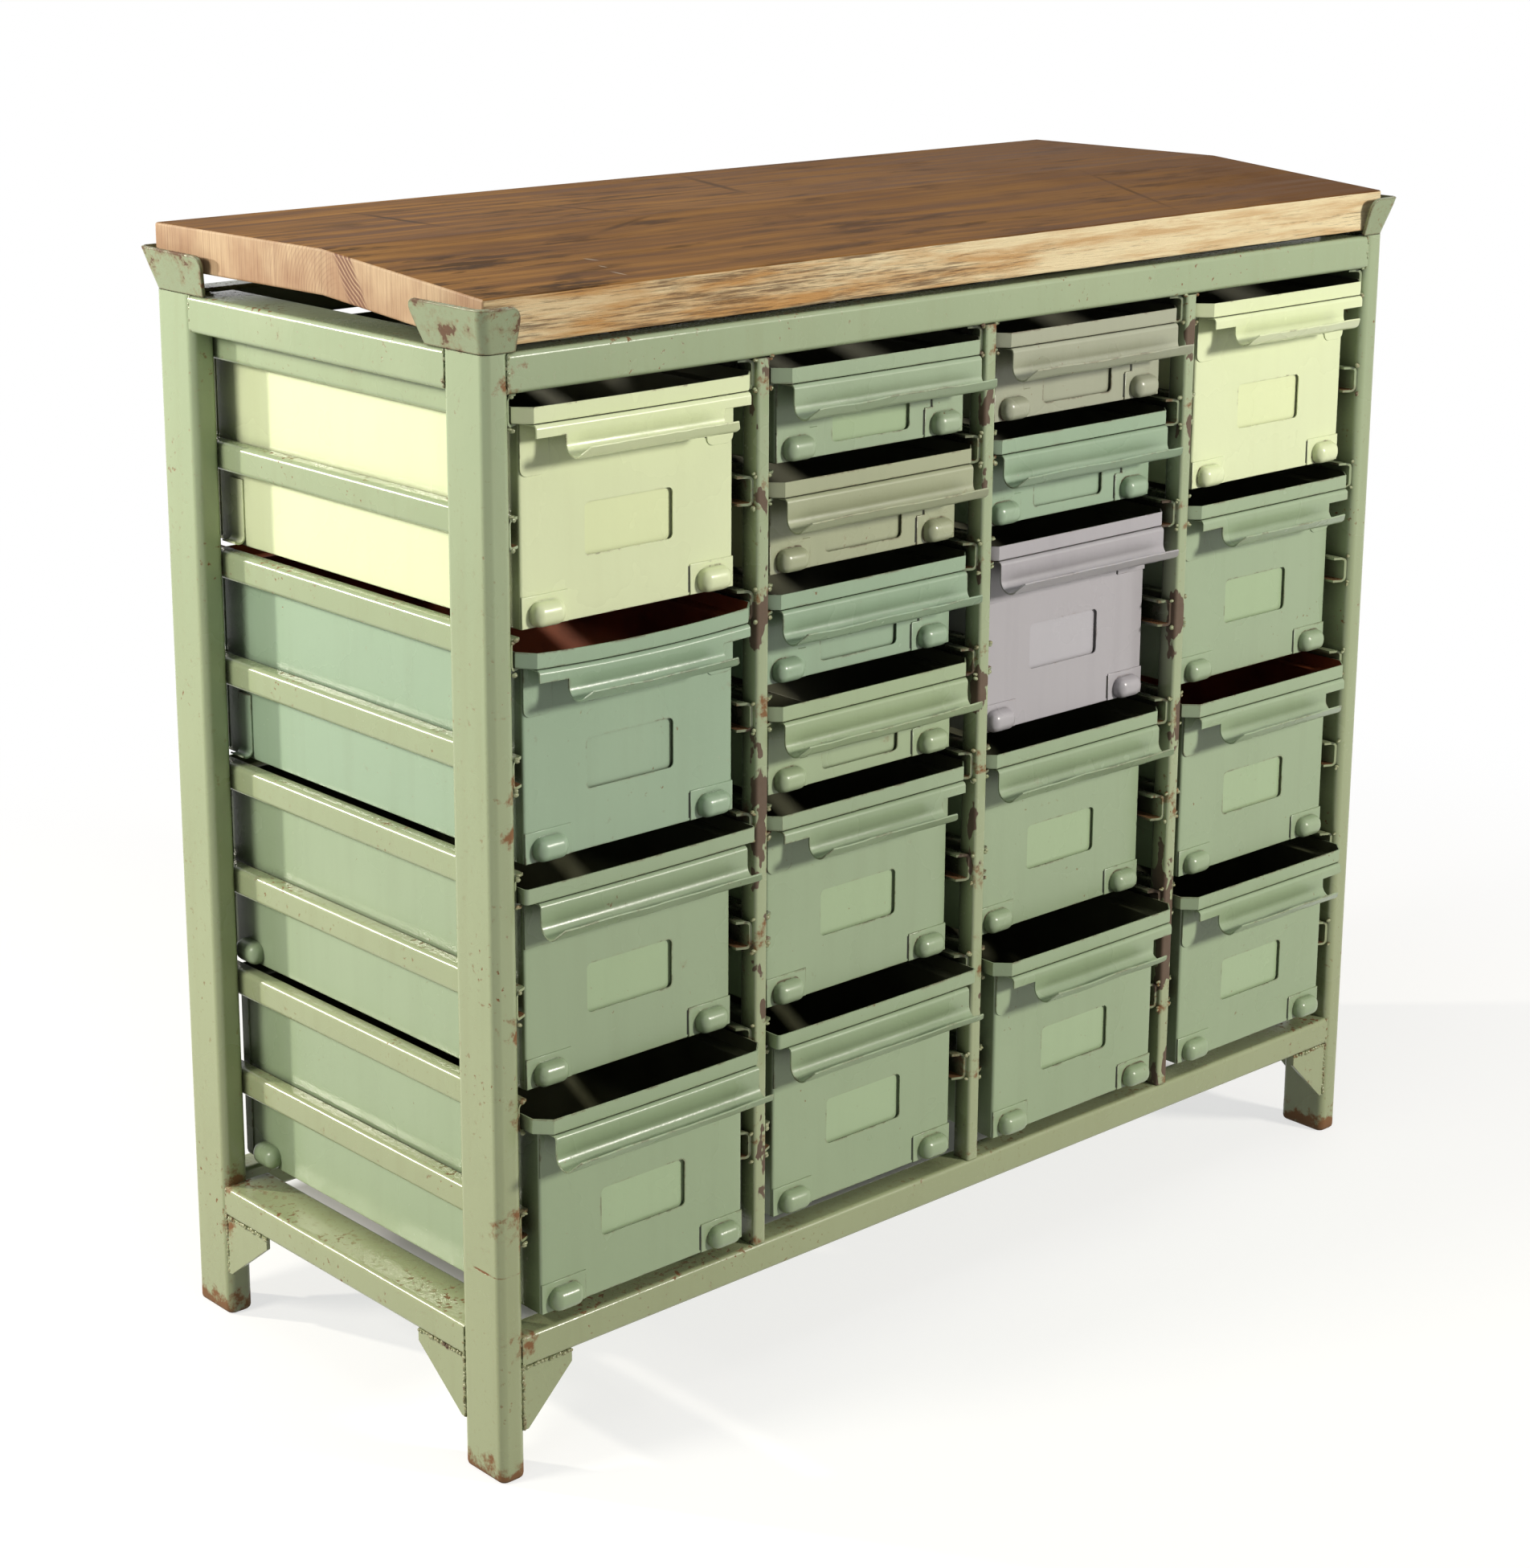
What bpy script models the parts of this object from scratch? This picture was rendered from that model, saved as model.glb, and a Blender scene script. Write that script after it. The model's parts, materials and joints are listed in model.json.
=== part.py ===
# Workshop drawer rack: a welded steel frame, nineteen sliding sheet-steel drawers and a plank top.
# Metres, +Z up, the drawers face -Y and the feet stand on z = 0.
import math

import bmesh
import bpy
from mathutils import Matrix, Vector

# Fits
SEAT = 0.0003              # gap between pieces that touch
WELD = 0.0006              # overlap of shapes fused into one welded piece

# Frame
COLUMNS = 4
LEVELS = 8                 # runner levels in each column
BAY_WIDTH = 0.2548         # clear width between posts or uprights
LEVEL_PITCH = 0.0972
FRAME_DEPTH = 0.4645
POST_X = 0.0254
POST_Y = 0.0537
POST_WALL = 0.0025
POST_ROUND = 0.007
FOOT_CHAMFER = 0.004
UPRIGHT_X = 0.0143
UPRIGHT_Y = 0.0200
UPRIGHT_WALL = 0.0018
UPRIGHT_ROUND = 0.003
LEG_CLEARANCE = 0.0997     # floor to the underside of the bottom rails
BOTTOM_RAIL_HEIGHT = 0.0288
TOP_RAIL_HEIGHT = 0.0325
RAIL_DEPTH = 0.0300        # front and rear rails, front to back
SIDE_RAIL_WIDTH = 0.0500   # left and right rails, outer face to inner edge
RAIL_WALL = 0.0025
RAIL_ROUND = 0.004
STACK_GAP = 0.0140         # bottom rail to the underside of the lowest drawers

# Runners, C channels with their lips turned into the bay
RUNNER_HEIGHT = 0.0255
RUNNER_SHEET = 0.0023
RUNNER_BEND = 0.003
RUNNER_RECESS = 0.0067     # runner ends to the front and rear faces of the frame
RUNNER_TOP_GAP = 0.0008    # top runner to the top rail

# Leg gussets
GUSSET_PLATE = 0.004
GUSSET_INSET = 0.001
GUSSET_FRONT_WIDTH = 0.053
GUSSET_SIDE_WIDTH = 0.066
GUSSET_DROP = 0.057
GUSSET_TOE = 0.006         # flat left at the lower tip
GUSSET_HEEL = 0.011        # square cut at the rail end

# Corner cups on the posts
CUP_PLATE = 0.0035
CUP_HEIGHT = 0.036
CUP_FLARE = 0.010
CUP_FRONT_WING = 0.031
CUP_SIDE_WING = 0.075
CUP_WING_SPREAD = 0.012    # how much longer a side wing is at its top
CUP_ROUND = 0.007

# Plank top
PLANK_THICKNESS = 0.038
PLANK_REAR_RISE = 0.014    # rear plank above the front edge of the top
PLANK_SEAM_RISE = 0.017    # seam above the front edge of the top
PLANK_FRONT_WIDTH = 0.213
PLANK_EDGE = 0.0015

# Drawers
DRAWER_SHEET = 0.0012
DRAWER_GAP = 0.0135        # rim top to the drawer above
RIM_BAND = 0.0135
RIM_LEDGE = 0.0120         # sides and rear
RIM_FRONT_LEDGE = 0.0200
RIM_SIDE_CLEARANCE = 0.0016
RIM_CHAMFER = 0.0125
LIP_CLEARANCE = 0.0024     # runner lip to the side of the drawer
BOX_CORNER = 0.003
REAR_OVERHANG = 0.007      # rear rim past the rear face of the frame, drawer flush in front
WINDOW_WIDTH = 0.092
WINDOW_HEIGHT = 0.043
WINDOW_SILL_LARGE = 0.051
WINDOW_SILL_SMALL = 0.0105
POCKET_DEPTH = 0.005       # label pocket behind the window
POCKET_MARGIN = 0.008
POCKET_PLATE = 0.0012
BOSS_LENGTH = 0.032
BOSS_HEIGHT = 0.020
BOSS_PROUD = 0.0118
BOSS_INSET = 0.024         # front boss centre to the drawer's corner
BOSS_REAR_INSET = 0.041    # side boss centre to the rear wall
BOSS_LIFT = 0.011          # boss centre above the drawer's underside

# Pulls, bent strips under the front rim
PULL_SHEET = 0.0016
PULL_END_GAP = 0.0005      # pull end to the side plane of the drawer
PULL_FORWARD = 0.003       # web in front of the rim
PULL_SHOULDER = 0.004
PULL_WEB_DROP = 0.0165     # flange to the centre of the gutter
PULL_GUTTER = 0.010        # inside radius
PULL_SWEEP = 50.0          # degrees that the gutter turns past its lowest point
PULL_LIP = 0.009
PULL_LIP_TRIM = 0.006
PULL_NOTCH = 0.029         # end cut of the short gutters
PULL_NOTCH_DROP = 0.0105   # flange to the upper edge of that cut

# Facets of the round corners and bends
TUBE_STEPS = 2
RUNNER_STEPS = 1
CUP_STEPS = 3
SHOULDER_STEPS = 3
GUTTER_STEPS = 7
BOSS_FACETS = (8, 4)       # around and from base to top

# Colours and roughness
FRAME_ROUGHNESS = 0.45
DRAWER_ROUGHNESS = 0.42
WOOD_ROUGHNESS = 0.6
WOOD = (0.195, 0.084, 0.030)
PAINTS = {
    "frame": (0.347, 0.429, 0.275),
    "sage": (0.366, 0.462, 0.323),
    "blue_sage": (0.352, 0.479, 0.366),
    "yellow_sage": (0.402, 0.479, 0.296),
    "olive": (0.440, 0.462, 0.296),
    "khaki": (0.429, 0.440, 0.332),
    "lime": (0.768, 0.847, 0.485),
    "lilac": (0.462, 0.445, 0.479),
}

# Runner levels that a drawer takes up
LEVELS_TALL = {"large": 2, "small": 1}

# Columns from left to right, drawers from the top: size, paint, pull, how far the rim stands out at rest
DRAWERS = {
    "a": (
        ("large", "lime", "notched", 0.0075),
        ("large", "blue_sage", "notched", 0.0076),
        ("large", "sage", "full", 0.0050),
        ("large", "sage", "full", 0.0212),
    ),
    "b": (
        ("small", "sage", "full", 0.0082),
        ("small", "olive", "full", 0.0007),
        ("small", "blue_sage", "full", -0.0035),
        ("small", "yellow_sage", "full", -0.0002),
        ("large", "sage", "notched", -0.0001),
        ("large", "sage", "full", 0.0100),
    ),
    "c": (
        ("small", "khaki", "full", 0.0012),
        ("small", "blue_sage", "full", -0.0068),
        ("large", "lilac", "full", -0.0072),
        ("large", "sage", "full", -0.0035),
        ("large", "sage", "notched", 0.0217),
    ),
    "d": (
        ("large", "lime", "notched", 0.0072),
        ("large", "sage", "notched", 0.0018),
        ("large", "sage", "notched", 0.0099),
        ("large", "sage", "notched", 0.0180),
    ),
}

# Sizes that follow from the ones above
FRAME_WIDTH = 2 * POST_X + COLUMNS * BAY_WIDTH + (COLUMNS - 1) * UPRIGHT_X
HALF_WIDTH = FRAME_WIDTH / 2
HALF_DEPTH = FRAME_DEPTH / 2
BOTTOM_RAIL_TOP = LEG_CLEARANCE + BOTTOM_RAIL_HEIGHT
STACK_BASE = BOTTOM_RAIL_TOP + STACK_GAP
RIM_HALF = BAY_WIDTH / 2 - RUNNER_SHEET - RIM_SIDE_CLEARANCE
BOX_HALF = RIM_HALF - RIM_LEDGE
RUNNER_LIP = BAY_WIDTH / 2 - BOX_HALF - LIP_CLEARANCE
RIM_DEPTH = FRAME_DEPTH + REAR_OVERHANG
PULL_HALF = BOX_HALF - PULL_END_GAP


def rim_top(level):
    return STACK_BASE + (LEVELS - level + 1) * LEVEL_PITCH - DRAWER_GAP


def runner_bottom(level):
    return rim_top(level) - RIM_BAND - SEAT - RUNNER_SHEET


def bay_centre(column):
    return -HALF_WIDTH + POST_X + BAY_WIDTH / 2 + column * (BAY_WIDTH + UPRIGHT_X)


TOP_RAIL_BOTTOM = runner_bottom(1) + RUNNER_HEIGHT + RUNNER_TOP_GAP
POST_HEIGHT = TOP_RAIL_BOTTOM + TOP_RAIL_HEIGHT


def clear_scene():
    for ob in list(bpy.data.objects):
        bpy.data.objects.remove(ob, do_unlink=True)


def finish(name, colour, roughness):
    material = bpy.data.materials.new(name)
    material.use_nodes = True
    shader = material.node_tree.nodes["Principled BSDF"]
    shader.inputs["Base Color"].default_value = (*colour, 1.0)
    shader.inputs["Roughness"].default_value = roughness
    return material


def add_object(name, mesh):
    ob = bpy.data.objects.new(name, mesh)
    bpy.context.collection.objects.link(ob)
    return ob


def object_from(bm, name):
    mesh = bpy.data.meshes.new(name)
    bm.to_mesh(mesh)
    bm.free()
    return add_object(name, mesh)


def empty(name, place, parent=None):
    ob = add_object(name, None)
    ob.location = place
    ob.parent = parent
    return ob


def dress(ob, colour, roughness, parent):
    material = finish(ob.name, colour, roughness)
    if not ob.data.materials:
        ob.data.materials.append(None)
    ob.material_slots[0].link = "OBJECT"
    ob.material_slots[0].material = material
    ob.parent = parent
    return ob


# Bakes an object's modifiers into its mesh
def freeze(ob):
    bpy.context.view_layer.update()
    graph = bpy.context.evaluated_depsgraph_get()
    mesh = bpy.data.meshes.new_from_object(ob.evaluated_get(graph))
    ob.modifiers.clear()
    ob.data = mesh
    return ob


# Gives an open sheet its wall, behind the side that its faces point to
def thicken(ob, wall):
    sheet = ob.modifiers.new("wall", "SOLIDIFY")
    sheet.thickness = wall
    sheet.offset = -1.0
    sheet.use_even_offset = True
    sheet.use_quality_normals = True
    return freeze(ob)


# Joins or cuts with closed tool shapes, which are then removed
def combine(ob, operation, tools):
    for tool in tools:
        step = ob.modifiers.new(operation.lower(), "BOOLEAN")
        step.operation = operation
        step.object = tool
        freeze(ob)
        bpy.data.objects.remove(tool, do_unlink=True)
    return ob


# Faces between rows of points; each row is an open line or a closed ring
def surface(rows, ring=False, skip=None):
    bm = bmesh.new()
    grid = [[bm.verts.new(point) for point in row] for row in rows]
    count = len(grid[0])
    for j in range(len(grid) - 1):
        for i in range(count if ring else count - 1):
            if skip and skip(i, j):
                continue
            k = (i + 1) % count
            bm.faces.new((grid[j][i], grid[j][k], grid[j + 1][k], grid[j + 1][i]))
    loose = [vert for vert in bm.verts if not vert.link_faces]
    bmesh.ops.delete(bm, geom=loose, context="VERTS")
    return bm, grid


# A closed shape between two or more rings
def solid(name, rings):
    bm, grid = surface(rings, ring=True)
    bm.faces.new(list(reversed(grid[0])))
    bm.faces.new(grid[-1])
    bmesh.ops.recalc_face_normals(bm, faces=bm.faces)
    return object_from(bm, name)


def block(name, low, high):
    corners = ((low[0], low[1]), (high[0], low[1]), (high[0], high[1]), (low[0], high[1]))
    return solid(name, [[(x, y, z) for x, y in corners] for z in (low[2], high[2])])


def arc(centre, radius, start, end, steps):
    turn = [math.radians(start + (end - start) * i / steps) for i in range(steps + 1)]
    return [(centre[0] + radius * math.cos(a), centre[1] + radius * math.sin(a)) for a in turn]


# A rectangle with round corners, counterclockwise
def rounded_rectangle(half_u, half_v, radius, steps):
    points = []
    for quarter, (su, sv) in enumerate(((1, 1), (-1, 1), (-1, -1), (1, -1))):
        centre = (su * (half_u - radius), sv * (half_v - radius))
        points += arc(centre, radius, 90 * quarter, 90 * quarter + 90, steps)
    return points


def tube_upright(name, x, y, half_x, half_y, radius, z_low, z_high, wall):
    section = rounded_rectangle(half_x, half_y, radius, TUBE_STEPS)
    rows = [[(x + u, y + v, z) for u, v in section] for z in (z_low, z_high)]
    bm, _ = surface(rows, ring=True)
    return thicken(object_from(bm, name), wall)


# A rectangular tube post with a closed, chamfered foot
def post(name, x, y):
    section = rounded_rectangle(POST_X / 2, POST_Y / 2, POST_ROUND, TUBE_STEPS)
    foot_x = 1 - 2 * FOOT_CHAMFER / POST_X
    foot_y = 1 - 2 * FOOT_CHAMFER / POST_Y
    foot = [(x + u * foot_x, y + v * foot_y, 0.0) for u, v in section]
    rows = [foot] + [[(x + u, y + v, z) for u, v in section] for z in (FOOT_CHAMFER, POST_HEIGHT)]
    bm, grid = surface(rows, ring=True)
    bm.faces.new(list(reversed(grid[0])))
    return thicken(object_from(bm, name), POST_WALL)


# One C channel whose web lies on the plane x = face and whose lips point to side
def runner(name, face, side, level):
    low = runner_bottom(level)
    high = low + RUNNER_HEIGHT
    bend = RUNNER_BEND
    back = -WELD
    path = [(RUNNER_LIP, high)]
    path += arc((back + bend, high - bend), bend, 90, 180, RUNNER_STEPS)
    path += arc((back + bend, low + bend), bend, 180, 270, RUNNER_STEPS)
    path.append((RUNNER_LIP, low))
    ends = [-side * (HALF_DEPTH - RUNNER_RECESS), side * (HALF_DEPTH - RUNNER_RECESS)]
    rows = [[(face + side * u, y, z) for y in ends] for u, z in path]
    bm, _ = surface(rows)
    return thicken(object_from(bm, name), RUNNER_SHEET)


def merge_objects(name, obs):
    bm = bmesh.new()
    for ob in obs:
        bm.from_mesh(ob.data)
        bpy.data.objects.remove(ob, do_unlink=True)
    return object_from(bm, name)


# Two uprights with the runners welded between them
def ladder(name, uprights, runners):
    return combine(merge_objects(name, uprights), "UNION", [merge_objects(name + "_rungs", runners)])


def side_ladder(name, side, root):
    x = side * (HALF_WIDTH - POST_X / 2)
    face = side * (HALF_WIDTH - POST_X)
    posts = [post(name, x, end * (HALF_DEPTH - POST_Y / 2)) for end in (-1, 1)]
    runners = [runner(name, face, -side, level) for level in range(1, LEVELS + 1)]
    return dress(ladder(name, posts, runners), PAINTS["frame"], FRAME_ROUGHNESS, root)


def divider_ladder(name, gap, root):
    x = bay_centre(gap) + (BAY_WIDTH + UPRIGHT_X) / 2
    low = BOTTOM_RAIL_TOP + SEAT
    high = TOP_RAIL_BOTTOM - SEAT
    half = (UPRIGHT_X / 2, UPRIGHT_Y / 2)
    uprights = []
    for end in (-1, 1):
        y = end * (HALF_DEPTH - UPRIGHT_Y / 2)
        uprights.append(tube_upright(name, x, y, *half, UPRIGHT_ROUND, low, high, UPRIGHT_WALL))
    runners = []
    for side in (-1, 1):
        runners += [runner(name, x + side * UPRIGHT_X / 2, side, lv) for lv in range(1, LEVELS + 1)]
    return dress(ladder(name, uprights, runners), PAINTS["frame"], FRAME_ROUGHNESS, root)


# A rail along X or Y between two posts, centred on the given middle of its section
def rail(name, along, half_length, half_section, middle):
    section = rounded_rectangle(*half_section, RAIL_ROUND, TUBE_STEPS)
    if along == "x":
        rows = [[(x, middle[0] + u, middle[1] + v) for u, v in section] for x in (-half_length, half_length)]
    else:
        rows = [[(middle[0] + u, y, middle[1] + v) for u, v in section] for y in (half_length, -half_length)]
    bm, _ = surface(rows, ring=True)
    return thicken(object_from(bm, name), RAIL_WALL)


# A pair of leg gussets under the ends of a bottom rail
def gussets(name, along, half_length, width, plate_middle):
    top = LEG_CLEARANCE + WELD
    toe = LEG_CLEARANCE - GUSSET_DROP
    heel = LEG_CLEARANCE - GUSSET_HEEL
    outline = ((0.0, top), (0.0, toe), (GUSSET_TOE, toe), (width, heel), (width, top))
    pair = []
    for end in (-1, 1):
        rows = []
        for offset in (-GUSSET_PLATE / 2, GUSSET_PLATE / 2):
            place = plate_middle + offset
            reach = [(end * (half_length - u), z) for u, z in outline]
            if along == "x":
                rows.append([(r, place, z) for r, z in reach])
            else:
                rows.append([(place, r, z) for r, z in reach])
        pair.append(solid(name + "_gusset", rows))
    return pair


def rails(root):
    half_x = HALF_WIDTH - POST_X - SEAT
    half_y = HALF_DEPTH - POST_Y - SEAT
    for height, level, middle_z in (
        (TOP_RAIL_HEIGHT, "top", TOP_RAIL_BOTTOM + TOP_RAIL_HEIGHT / 2),
        (BOTTOM_RAIL_HEIGHT, "bottom", LEG_CLEARANCE + BOTTOM_RAIL_HEIGHT / 2),
    ):
        for end, label in ((-1, "front"), (1, "rear")):
            name = label + "_" + level + "_rail"
            middle = (end * (HALF_DEPTH - RAIL_DEPTH / 2), middle_z)
            ob = rail(name, "x", half_x, (RAIL_DEPTH / 2, height / 2), middle)
            if level == "bottom":
                plate = end * (HALF_DEPTH - GUSSET_INSET - GUSSET_PLATE / 2)
                combine(ob, "UNION", gussets(name, "x", half_x, GUSSET_FRONT_WIDTH, plate))
            dress(ob, PAINTS["frame"], FRAME_ROUGHNESS, root)
        for side, label in ((-1, "left"), (1, "right")):
            name = label + "_" + level + "_rail"
            middle = (side * (HALF_WIDTH - SIDE_RAIL_WIDTH / 2), middle_z)
            ob = rail(name, "y", half_y, (SIDE_RAIL_WIDTH / 2, height / 2), middle)
            if level == "bottom":
                plate = side * (HALF_WIDTH - GUSSET_INSET - GUSSET_PLATE / 2)
                combine(ob, "UNION", gussets(name, "y", half_y, GUSSET_SIDE_WIDTH, plate))
            dress(ob, PAINTS["frame"], FRAME_ROUGHNESS, root)


# A flared corner cup: two bent wings and a base plate on the post
def corner_cup(name, sx, sy, root):
    low = POST_HEIGHT + SEAT
    rows = []
    for z, flare, spread in ((low, 0.0, 0.0), (low + CUP_HEIGHT, CUP_FLARE, CUP_WING_SPREAD)):
        bend = arc((CUP_ROUND - flare, CUP_ROUND - flare), CUP_ROUND, 180, 270, CUP_STEPS)
        line = [(-flare, CUP_SIDE_WING + spread)] + bend + [(CUP_FRONT_WING, -flare)]
        rows.append([(sx * (HALF_WIDTH - u), sy * (HALF_DEPTH - v), z) for u, v in line])
    if sx * sy < 0:
        rows = [list(reversed(row)) for row in rows]
    bm, _ = surface(rows)
    ob = thicken(object_from(bm, name), CUP_PLATE)
    edge = CUP_PLATE / 2
    xs = sorted(sx * (HALF_WIDTH - u) for u in (edge, POST_X))
    ys = sorted(sy * (HALF_DEPTH - v) for v in (edge, POST_Y))
    lift = low + WELD
    base = block(name + "_base", (xs[0], ys[0], lift), (xs[1], ys[1], lift + CUP_PLATE))
    return dress(combine(ob, "UNION", [base]), PAINTS["frame"], FRAME_ROUGHNESS, root)


# Inner face of a cup wing, measured outwards from the post's outer face, at a height above the post
def wing_inner(height):
    slope = CUP_FLARE / CUP_HEIGHT
    return slope * height - CUP_PLATE * math.sqrt(1 + slope * slope)


# Two planks, the front one sloping down into the front cups, the rear one wedged in the rear cups
def worktop(root):
    front_base = POST_HEIGHT + 2 * SEAT + WELD + CUP_PLATE
    lift = front_base - POST_HEIGHT - SEAT
    front_y = -(HALF_DEPTH + wing_inner(lift) - SEAT)
    end_x = HALF_WIDTH + wing_inner(lift) - SEAT
    seam_y = front_y + PLANK_FRONT_WIDTH
    seam_z = front_base + PLANK_SEAM_RISE
    rear_z = front_base + PLANK_REAR_RISE
    rear_y = HALF_DEPTH + wing_inner(rear_z - POST_HEIGHT - SEAT) - SEAT
    planks = (
        ("worktop_front_plank", front_y, front_base, seam_y - SEAT / 2, seam_z),
        ("worktop_rear_plank", seam_y + SEAT / 2, seam_z, rear_y, rear_z),
    )
    for name, y0, z0, y1, z1 in planks:
        section = ((y0, z0), (y1, z1), (y1, z1 + PLANK_THICKNESS), (y0, z0 + PLANK_THICKNESS))
        ob = solid(name, [[(x, y, z) for y, z in section] for x in (-end_x, end_x)])
        edge = ob.modifiers.new("eased edges", "BEVEL")
        edge.width = PLANK_EDGE
        edge.segments = 1
        dress(ob, WOOD, WOOD_ROUGHNESS, root)


# Plan of a drawer: a rectangle with its four corners cut, counterclockwise from the front left
def drawer_plan(half, y_front, y_rear, front_cut, rear_cut):
    return [
        (-half + front_cut, y_front), (half - front_cut, y_front),
        (half, y_front + front_cut), (half, y_rear - rear_cut),
        (half - rear_cut, y_rear), (-half + rear_cut, y_rear),
        (-half, y_rear - rear_cut), (-half, y_front + front_cut),
    ]


# Half of a low dome whose base lies on a wall, its top pointing along direction
def boss(name, centre, direction):
    bm = bmesh.new()
    around, upward = BOSS_FACETS
    bmesh.ops.create_uvsphere(bm, u_segments=around, v_segments=upward, radius=1.0)
    geometry = bm.verts[:] + bm.edges[:] + bm.faces[:]
    bmesh.ops.bisect_plane(bm, geom=geometry, plane_co=(0, 0, 0), plane_no=(0, 0, -1), clear_outer=True)
    bmesh.ops.holes_fill(bm, edges=[edge for edge in bm.edges if edge.is_boundary])
    bmesh.ops.scale(bm, vec=(BOSS_LENGTH / 2, BOSS_HEIGHT / 2, BOSS_PROUD), verts=bm.verts)
    up = Vector((0, 0, 1))
    out = Vector(direction)
    turn = Matrix((up.cross(out), up, out)).transposed().to_4x4()
    bmesh.ops.transform(bm, matrix=Matrix.Translation(centre) @ turn, verts=bm.verts)
    bmesh.ops.recalc_face_normals(bm, faces=bm.faces)
    return object_from(bm, name)


# An open drawer with its stepped rim, label window, label pocket and stacking bosses.
# Its own origin is the middle of the front rim's top edge.
def drawer_mesh(name, levels, sill):
    height = levels * LEVEL_PITCH - DRAWER_GAP
    wall_y = RIM_FRONT_LEDGE
    rear_y = RIM_DEPTH - RIM_LEDGE
    box = drawer_plan(BOX_HALF, wall_y, rear_y, BOX_CORNER, BOX_CORNER)
    rim = drawer_plan(RIM_HALF, 0.0, RIM_DEPTH, RIM_CHAMFER, BOX_CORNER)
    steps = ((box, -height), (box, -RIM_BAND), (rim, -RIM_BAND), (rim, 0.0))
    bm, grid = surface([[(x, y, z) for x, y in loop] for loop, z in steps], ring=True)
    bm.faces.new(list(reversed(grid[0])))
    ob = thicken(object_from(bm, name), DRAWER_SHEET)

    low = -height + sill
    high = low + WINDOW_HEIGHT
    half = WINDOW_WIDTH / 2
    inner = wall_y + DRAWER_SHEET
    outer_half = half + POCKET_MARGIN + POCKET_PLATE
    pocket_low = max(low - POCKET_MARGIN, -height + 2 * DRAWER_SHEET)
    pocket_rear = inner + POCKET_DEPTH + POCKET_PLATE
    weld_y = inner - WELD
    pocket = block(name, (-outer_half, weld_y, pocket_low), (outer_half, pocket_rear, high))
    room_half = half + POCKET_MARGIN
    room_low = pocket_low + POCKET_PLATE
    room = block(name, (-room_half, inner, room_low), (room_half, inner + POCKET_DEPTH, high + WELD))
    window = block(name, (-half, wall_y - WELD, low), (half, inner + WELD, high - SEAT))
    side = BOX_HALF - WELD
    lift = -height + BOSS_LIFT
    bosses = []
    for s in (-1, 1):
        bosses.append(boss(name, (s * (side - BOSS_INSET), wall_y + WELD, lift), (0, -1, 0)))
        bosses.append(boss(name, (s * side, rear_y - BOSS_REAR_INSET, lift), (s, 0, 0)))
    combine(ob, "UNION", [pocket, merge_objects(name, bosses)])
    combine(ob, "DIFFERENCE", [room, window])
    mesh = ob.data
    bpy.data.objects.remove(ob, do_unlink=True)
    return mesh


# A strip bent to a flange, a web and a gutter for the fingers; short gutters have their ends cut
def pull_mesh(name, notched):
    top = -RIM_BAND - SEAT
    web = -PULL_FORWARD
    centre = (web - PULL_GUTTER, top - PULL_WEB_DROP)
    path = [(RIM_FRONT_LEDGE - SEAT, top)]
    path += arc((web + PULL_SHOULDER, top - PULL_SHOULDER), PULL_SHOULDER, 90, 180, SHOULDER_STEPS)
    cut_row = len(path)
    path.append((web, top - PULL_NOTCH_DROP))
    path += arc(centre, PULL_GUTTER, 0, -90 - PULL_SWEEP, GUTTER_STEPS)
    sweep = math.radians(PULL_SWEEP)
    path.append((path[-1][0] - PULL_LIP * math.cos(sweep), path[-1][1] + PULL_LIP * math.sin(sweep)))
    inset = PULL_NOTCH if notched else PULL_LIP_TRIM
    last = len(path) - 1
    rows = []
    for j, (y, z) in enumerate(path):
        short = PULL_HALF - inset - (PULL_LIP_TRIM if notched and j == last else 0.0)
        end = short if j == last and not notched else PULL_HALF
        rows.append([(end, y, z), (short, y, z), (-short, y, z), (-end, y, z)])
    if not notched:
        rows = [[row[0], row[3]] for row in rows]
    bm, _ = surface(rows, skip=lambda i, j: notched and i != 1 and j >= cut_row)
    ob = thicken(object_from(bm, name), PULL_SHEET)
    mesh = ob.data
    bpy.data.objects.remove(ob, do_unlink=True)
    return mesh


def drawers(root):
    boxes = {
        "large": drawer_mesh("large_drawer", LEVELS_TALL["large"], WINDOW_SILL_LARGE),
        "small": drawer_mesh("small_drawer", LEVELS_TALL["small"], WINDOW_SILL_SMALL),
    }
    pulls = {"notched": pull_mesh("notched_pull", True), "full": pull_mesh("full_pull", False)}
    for column, (letter, stack) in enumerate(DRAWERS.items()):
        level = 1
        for number, (size, paint, pull, stands_out) in enumerate(stack, 1):
            name = "drawer_" + letter + str(number)
            place = (bay_centre(column), -HALF_DEPTH - stands_out, rim_top(level))
            slide = empty(name + "_slide", place, root)
            box = add_object(name + "_box", boxes[size])
            dress(box, PAINTS[paint], DRAWER_ROUGHNESS, slide)
            strip = add_object(name + "_pull", pulls[pull])
            dress(strip, PAINTS[paint], DRAWER_ROUGHNESS, slide)
            level += LEVELS_TALL[size]


# Moves the rack so that its box is centred over the origin
def centre_over_origin(root):
    bpy.context.view_layer.update()
    graph = bpy.context.evaluated_depsgraph_get()
    ys = []
    for ob in bpy.data.objects:
        if ob.type == "MESH":
            shape = ob.evaluated_get(graph)
            ys += [(ob.matrix_world @ vert.co).y for vert in shape.data.vertices]
    root.location.y = -(min(ys) + max(ys)) / 2


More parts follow.
